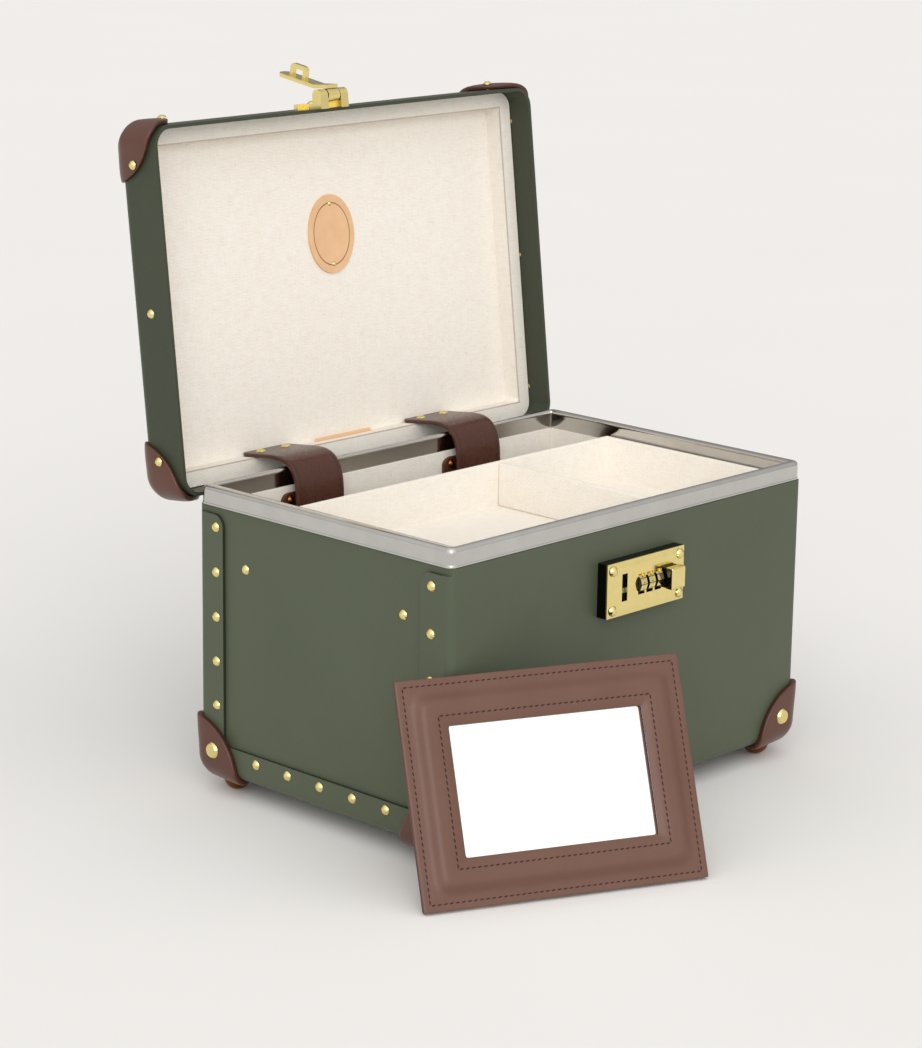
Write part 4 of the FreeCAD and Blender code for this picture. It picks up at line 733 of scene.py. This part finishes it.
# Carrying handle: a bridle leather grip, rounded and waxed, with an eye at each end.
# Each eye turns on a pin in a brass mount riveted to the lid, and the grip hangs down behind the open lid.
grip_points = ((-64, -5.5), (-64, 5), (-63.8, 14), (-58.7, 24.7), (-46, 30), (-24, 30.6), (0, 30.8))
grip_points += tuple((-x, z) for x, z in reversed(grip_points[:-1]))
grip_route = flowing([Vector((x * mm, 0, z * mm)) for x, z in grip_points])
grip_length = length_of(grip_route)
eye = 5.5 * mm
lying = (0, math.pi / 2, 0)
bpy.ops.object.select_all(action="DESELECT")
bpy.ops.mesh.primitive_cylinder_add(vertices=24, radius=1.0, depth=1.0, location=(0.5, 0, 0), rotation=lying)
grip = bpy.context.object
grip.name = "leather_grip"
bpy.ops.object.transform_apply(location=True, rotation=True, scale=True)
open_edit(grip)
pick(grip, "EDGE", lambda at: abs(at.x - 0.5) < 0.01)
bpy.ops.mesh.subdivide(number_cuts=119)
bpy.ops.object.mode_set(mode="OBJECT")
for vertex in grip.data.vertices:
    from_end = grip_length * min(vertex.co.x, 1 - vertex.co.x)
    broad = eye + 2 * mm * min(max((from_end - 12 * mm) / (12 * mm), 0.0), 1.0)
    if from_end < eye:
        broad = math.sqrt(max(eye**2 - (eye - from_end) ** 2, (0.4 * mm) ** 2))
    deep = 3.6 * mm + 0.5 * mm * min(max((from_end - 20 * mm) / (25 * mm), 0.0), 1.0)
    vertex.co.y = math.copysign(abs(vertex.co.y) ** 0.7, vertex.co.y) * broad
    vertex.co.z = math.copysign(abs(vertex.co.z) ** 0.7, vertex.co.z) * deep
lay_along(grip, grip_route, Vector((0, 1, 0)))
open_edit(grip)
bpy.ops.mesh.select_all(action="SELECT")
bpy.ops.mesh.normals_make_consistent(inside=False)
bpy.ops.object.mode_set(mode="OBJECT")
bpy.ops.object.select_all(action="DESELECT")
bpy.ops.mesh.primitive_cylinder_add(vertices=24, radius=2.4 * mm, depth=160 * mm, rotation=lying)
drill = bpy.context.object
refine(grip, ("BOOLEAN", {"operation": "DIFFERENCE", "object": drill}))
bpy.data.objects.remove(drill)
hung = Matrix.Translation((0, 0, 229.6 * mm)) @ Matrix.Rotation(math.radians(-83.3), 4, "X")
settle(grip, opened @ hung, bridle, 50)
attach(grip, "handle")
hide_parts("handle_grip")
dress(brass, "handle_mounts", "handle_pins")

# Mirror: silvered glass on a board, framed in leather that is drawn over the glass's edge.
# Two rows of waxed thread hold the leather, and a leather sheet closes the back.
# It stands loose on the floor and leans on the front of the case.
frame_wide, frame_high, border = 180 * mm, 134.5 * mm, 29 * mm
outer_seam, inner_seam = 4.14 * mm, 22.76 * mm
leaning = (
    Matrix.Translation((-138.602 * mm, -182.839 * mm, 0.985 * mm))
    @ Matrix.Rotation(math.radians(-25), 4, "Z")
    @ Matrix.Rotation(math.radians(-23.7), 4, "X")
)
mirror_leather = leather_finish("mirror_leather", colour(96, 64, 52), colour(108, 75, 62), 0.36, 0.4, 0.8)


def from_edge(at, round_by=0.0):
    """How far a point of the frame lies from the frame's outer edges, rounded at the corners if asked."""
    gaps = (frame_wide / 2 - abs(at.x), at.z, frame_high - at.z)
    if not round_by:
        return min(gaps)
    return -round_by * math.log(sum(math.exp(-gap / round_by) for gap in gaps))


def pulled_in(inset, seam):
    """How much the leather is drawn in beside a seam, from 0 to 1."""
    return math.exp(-(((inset - seam) / (1.2 * mm)) ** 2))


def rolled_edge(inset):
    """How much the leather rolls away at the frame's outer edge, from 0 to 1."""
    return math.exp(-((inset / (1.5 * mm)) ** 2))


def mirror_sheet(name, faces, depth):
    """A leather sheet of the frame's size, standing on the floor line, with its face at a depth."""
    bpy.ops.object.select_all(action="DESELECT")
    bpy.ops.mesh.primitive_grid_add(
        x_subdivisions=87,
        y_subdivisions=65,
        size=1.0,
        location=(0, depth, frame_high / 2),
        rotation=(math.radians(90 * faces), 0, 0),
    )
    sheet = bpy.context.object
    sheet.name = name
    sheet.scale = (frame_wide, frame_high, 1)
    bpy.ops.object.transform_apply(location=True, rotation=True, scale=True)
    sheet.data.materials.append(mirror_leather.material)
    sheet.data.materials.append(edge_ink.material)
    return sheet


leather_frame = mirror_sheet("mirror_leather_frame", 1, -2.4 * mm)
open_edit(leather_frame)
pick(leather_frame, "FACE", lambda at: from_edge(at) > border)
bpy.ops.mesh.delete(type="FACE")
bpy.ops.object.mode_set(mode="OBJECT")
for vertex in leather_frame.data.vertices:
    inset = from_edge(vertex.co)
    rise = min(max((from_edge(vertex.co, 3 * mm) - 8 * mm) / (6.5 * mm), 0.0), 1.0)
    sewn = pulled_in(inset, outer_seam) + pulled_in(inset, inner_seam)
    droop = max(inset - 23.5 * mm, 0.0) * 0.3 + 0.25 * mm * rolled_edge(inset)
    vertex.co.y += droop + 0.3 * mm * sewn - 3.6 * mm * rise**2 * (3 - 2 * rise)
refine(
    leather_frame,
    ("SUBSURF", {"levels": 1, "render_levels": 1}),
    ("SOLIDIFY", {"thickness": 2.3 * mm, "offset": -1.0}),
    ("BEVEL", {"width": 0.5 * mm, "segments": 2, **sharp_edges(60)}),
)
settle(leather_frame, leaning, mirror_leather)
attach(leather_frame, "mirror")
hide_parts("mirror_frame")

backing = mirror_sheet("mirror_leather_back", -1, 2.45 * mm)
for vertex in backing.data.vertices:
    inset = from_edge(vertex.co)
    vertex.co.y -= 0.3 * mm * (pulled_in(inset, outer_seam) + rolled_edge(inset))
refine(
    backing,
    ("SUBSURF", {"levels": 1, "render_levels": 1}),
    ("SOLIDIFY", {"thickness": 2.0 * mm, "offset": -1.0, "material_offset_rim": 1}),
    ("BEVEL", {"width": 0.5 * mm, "segments": 2, **sharp_edges(60)}),
)
settle(backing, leaning, mirror_leather)
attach(backing, "mirror")
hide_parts("mirror_back")

thread = Finish("waxed_thread", Specular_IOR_Level=0.3)
twist = thread.noise(1500.0, 2.0)
thread.paint(
    Base_Color=thread.blend(twist, colour(40, 22, 17), colour(64, 38, 30)),
    Roughness=0.55 + twist * 0.2,
    Normal=thread.relief(twist, 0.06 * mm, 0.5),
)


def stitch_row(start, end, out):
    """A straight row of stitches, modelled once and repeated at its pitch."""
    run = end - start
    count = round(run.length / (3.75 * mm))
    pitch = run.length / count
    bpy.ops.object.select_all(action="DESELECT")
    bpy.ops.mesh.primitive_uv_sphere_add(segments=8, ring_count=5, radius=1.0)
    row = bpy.context.object
    open_edit(row)
    pick(row, "VERT", lambda at: at.z < -0.2)
    bpy.ops.transform.resize(value=(0.9, 0.9, 0.5))
    bpy.ops.object.mode_set(mode="OBJECT")
    row.scale = (1.4 * mm, 0.42 * mm, 0.42 * mm)
    row.rotation_euler = (0, 0, math.radians(9))
    bpy.ops.object.transform_apply(location=True, rotation=True, scale=True)
    spread = {"use_relative_offset": False, "use_constant_offset": True}
    refine(row, ("ARRAY", {"count": count, "constant_offset_displace": (pitch, 0, 0), **spread}))
    way = run.normalized()
    turned = Matrix((way, out.cross(way), out)).transposed().to_4x4()
    row.matrix_world = Matrix.Translation(start + way * pitch / 2) @ turned
    bpy.ops.object.transform_apply(location=True, rotation=True, scale=True)
    return row


rows = []
for seam, level, out in ((outer_seam, -2.15, -1), (inner_seam, -5.8, -1), (outer_seam, 2.2, 1)):
    x, low, high = frame_wide / 2 - seam, seam, frame_high - seam
    ring = [Vector((a, level * mm, b)) for a, b in ((-x, low), (x, low), (x, high), (-x, high))]
    for start, end in zip(ring, ring[1:] + ring[:1]):
        rows.append(stitch_row(start, end, Vector((0, out, 0))))
bpy.ops.object.select_all(action="DESELECT")
for row in rows:
    row.select_set(True)
bpy.context.view_layer.objects.active = rows[0]
bpy.ops.object.join()
stitching = bpy.context.object
stitching.name = "mirror_stitching"
settle(stitching, leaning, thread, 60)
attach(stitching, "mirror")

silvered = Finish("silvered_glass", Metallic=1.0)
film = silvered.noise(20.0, 2.0)
silvered.paint(
    Base_Color=silvered.blend(film, colour(250, 251, 251), colour(253, 254, 254)),
    Roughness=0.01 + film * 0.01,
)
dress(silvered, "mirror_glass")

# Studio: a plain sheet of pale paper as the floor, under a soft sky that is brighter in front and left.
# One broad key light comes from the same side, and the camera stands where the photograph was taken.
photo_high, focal_length = 1048, 3088.5
bpy.ops.object.select_all(action="DESELECT")
bpy.ops.mesh.primitive_plane_add(size=30.0, location=(0, 0, 0))
floor = bpy.context.object
floor.name = "floor"
paper = Finish("paper_floor", Specular_IOR_Level=0.0)
mottle = paper.noise(3.0, 2.0)
paper.paint(Base_Color=paper.blend(mottle, colour(236, 234, 232), colour(238, 236, 234)), Roughness=0.9)
floor.data.materials.append(paper.material)

world = bpy.data.worlds.new("studio")
bpy.context.scene.world = world
world.use_nodes = True
sky = world.node_tree
back = sky.nodes["Background"]
back.inputs["Color"].default_value = colour(250, 249, 247)
heading = sky.nodes.new("ShaderNodeTexCoord")
towards = sky.nodes.new("ShaderNodeVectorMath")
towards.operation = "DOT_PRODUCT"
towards.inputs[1].default_value = Vector((-0.6, -0.6, 0.53))
level = sky.nodes.new("ShaderNodeMapRange")
for key, value in {"From Min": -0.6, "From Max": 0.9, "To Min": 0.34, "To Max": 1.28}.items():
    level.inputs[key].default_value = value
sky.links.new(heading.outputs["Generated"], towards.inputs[0])
sky.links.new(towards.outputs["Value"], level.inputs["Value"])
sky.links.new(level.outputs[0], back.inputs["Strength"])

lamp = bpy.data.lights.new("key_light", "SUN")
lamp.angle = math.radians(40)
lamp.energy = 1.0
key_light = bpy.data.objects.new("key_light", lamp)
bpy.context.scene.collection.objects.link(key_light)
key_light.rotation_euler = Vector((0.75, 0.8, -0.55)).to_track_quat("-Z", "Y").to_euler()

view = bpy.data.cameras.new("camera")
view.sensor_width = 36.0
view.lens = view.sensor_width * focal_length / photo_high
view.clip_end = 100.0
camera = bpy.data.objects.new("camera", view)
bpy.context.scene.collection.objects.link(camera)
azimuth, elevation, roll = (math.radians(a) for a in (-46.36, 14.472, 0.813))
camera.matrix_world = (
    Matrix.Translation((-1.4072, -1.3021, 0.6602))
    @ Matrix.Rotation(azimuth, 4, "Z")
    @ Matrix.Rotation(math.pi / 2 - elevation, 4, "X")
    @ Matrix.Rotation(roll, 4, "Z")
)
bpy.context.scene.camera = camera
bpy.context.scene.view_settings.view_transform = "Standard"
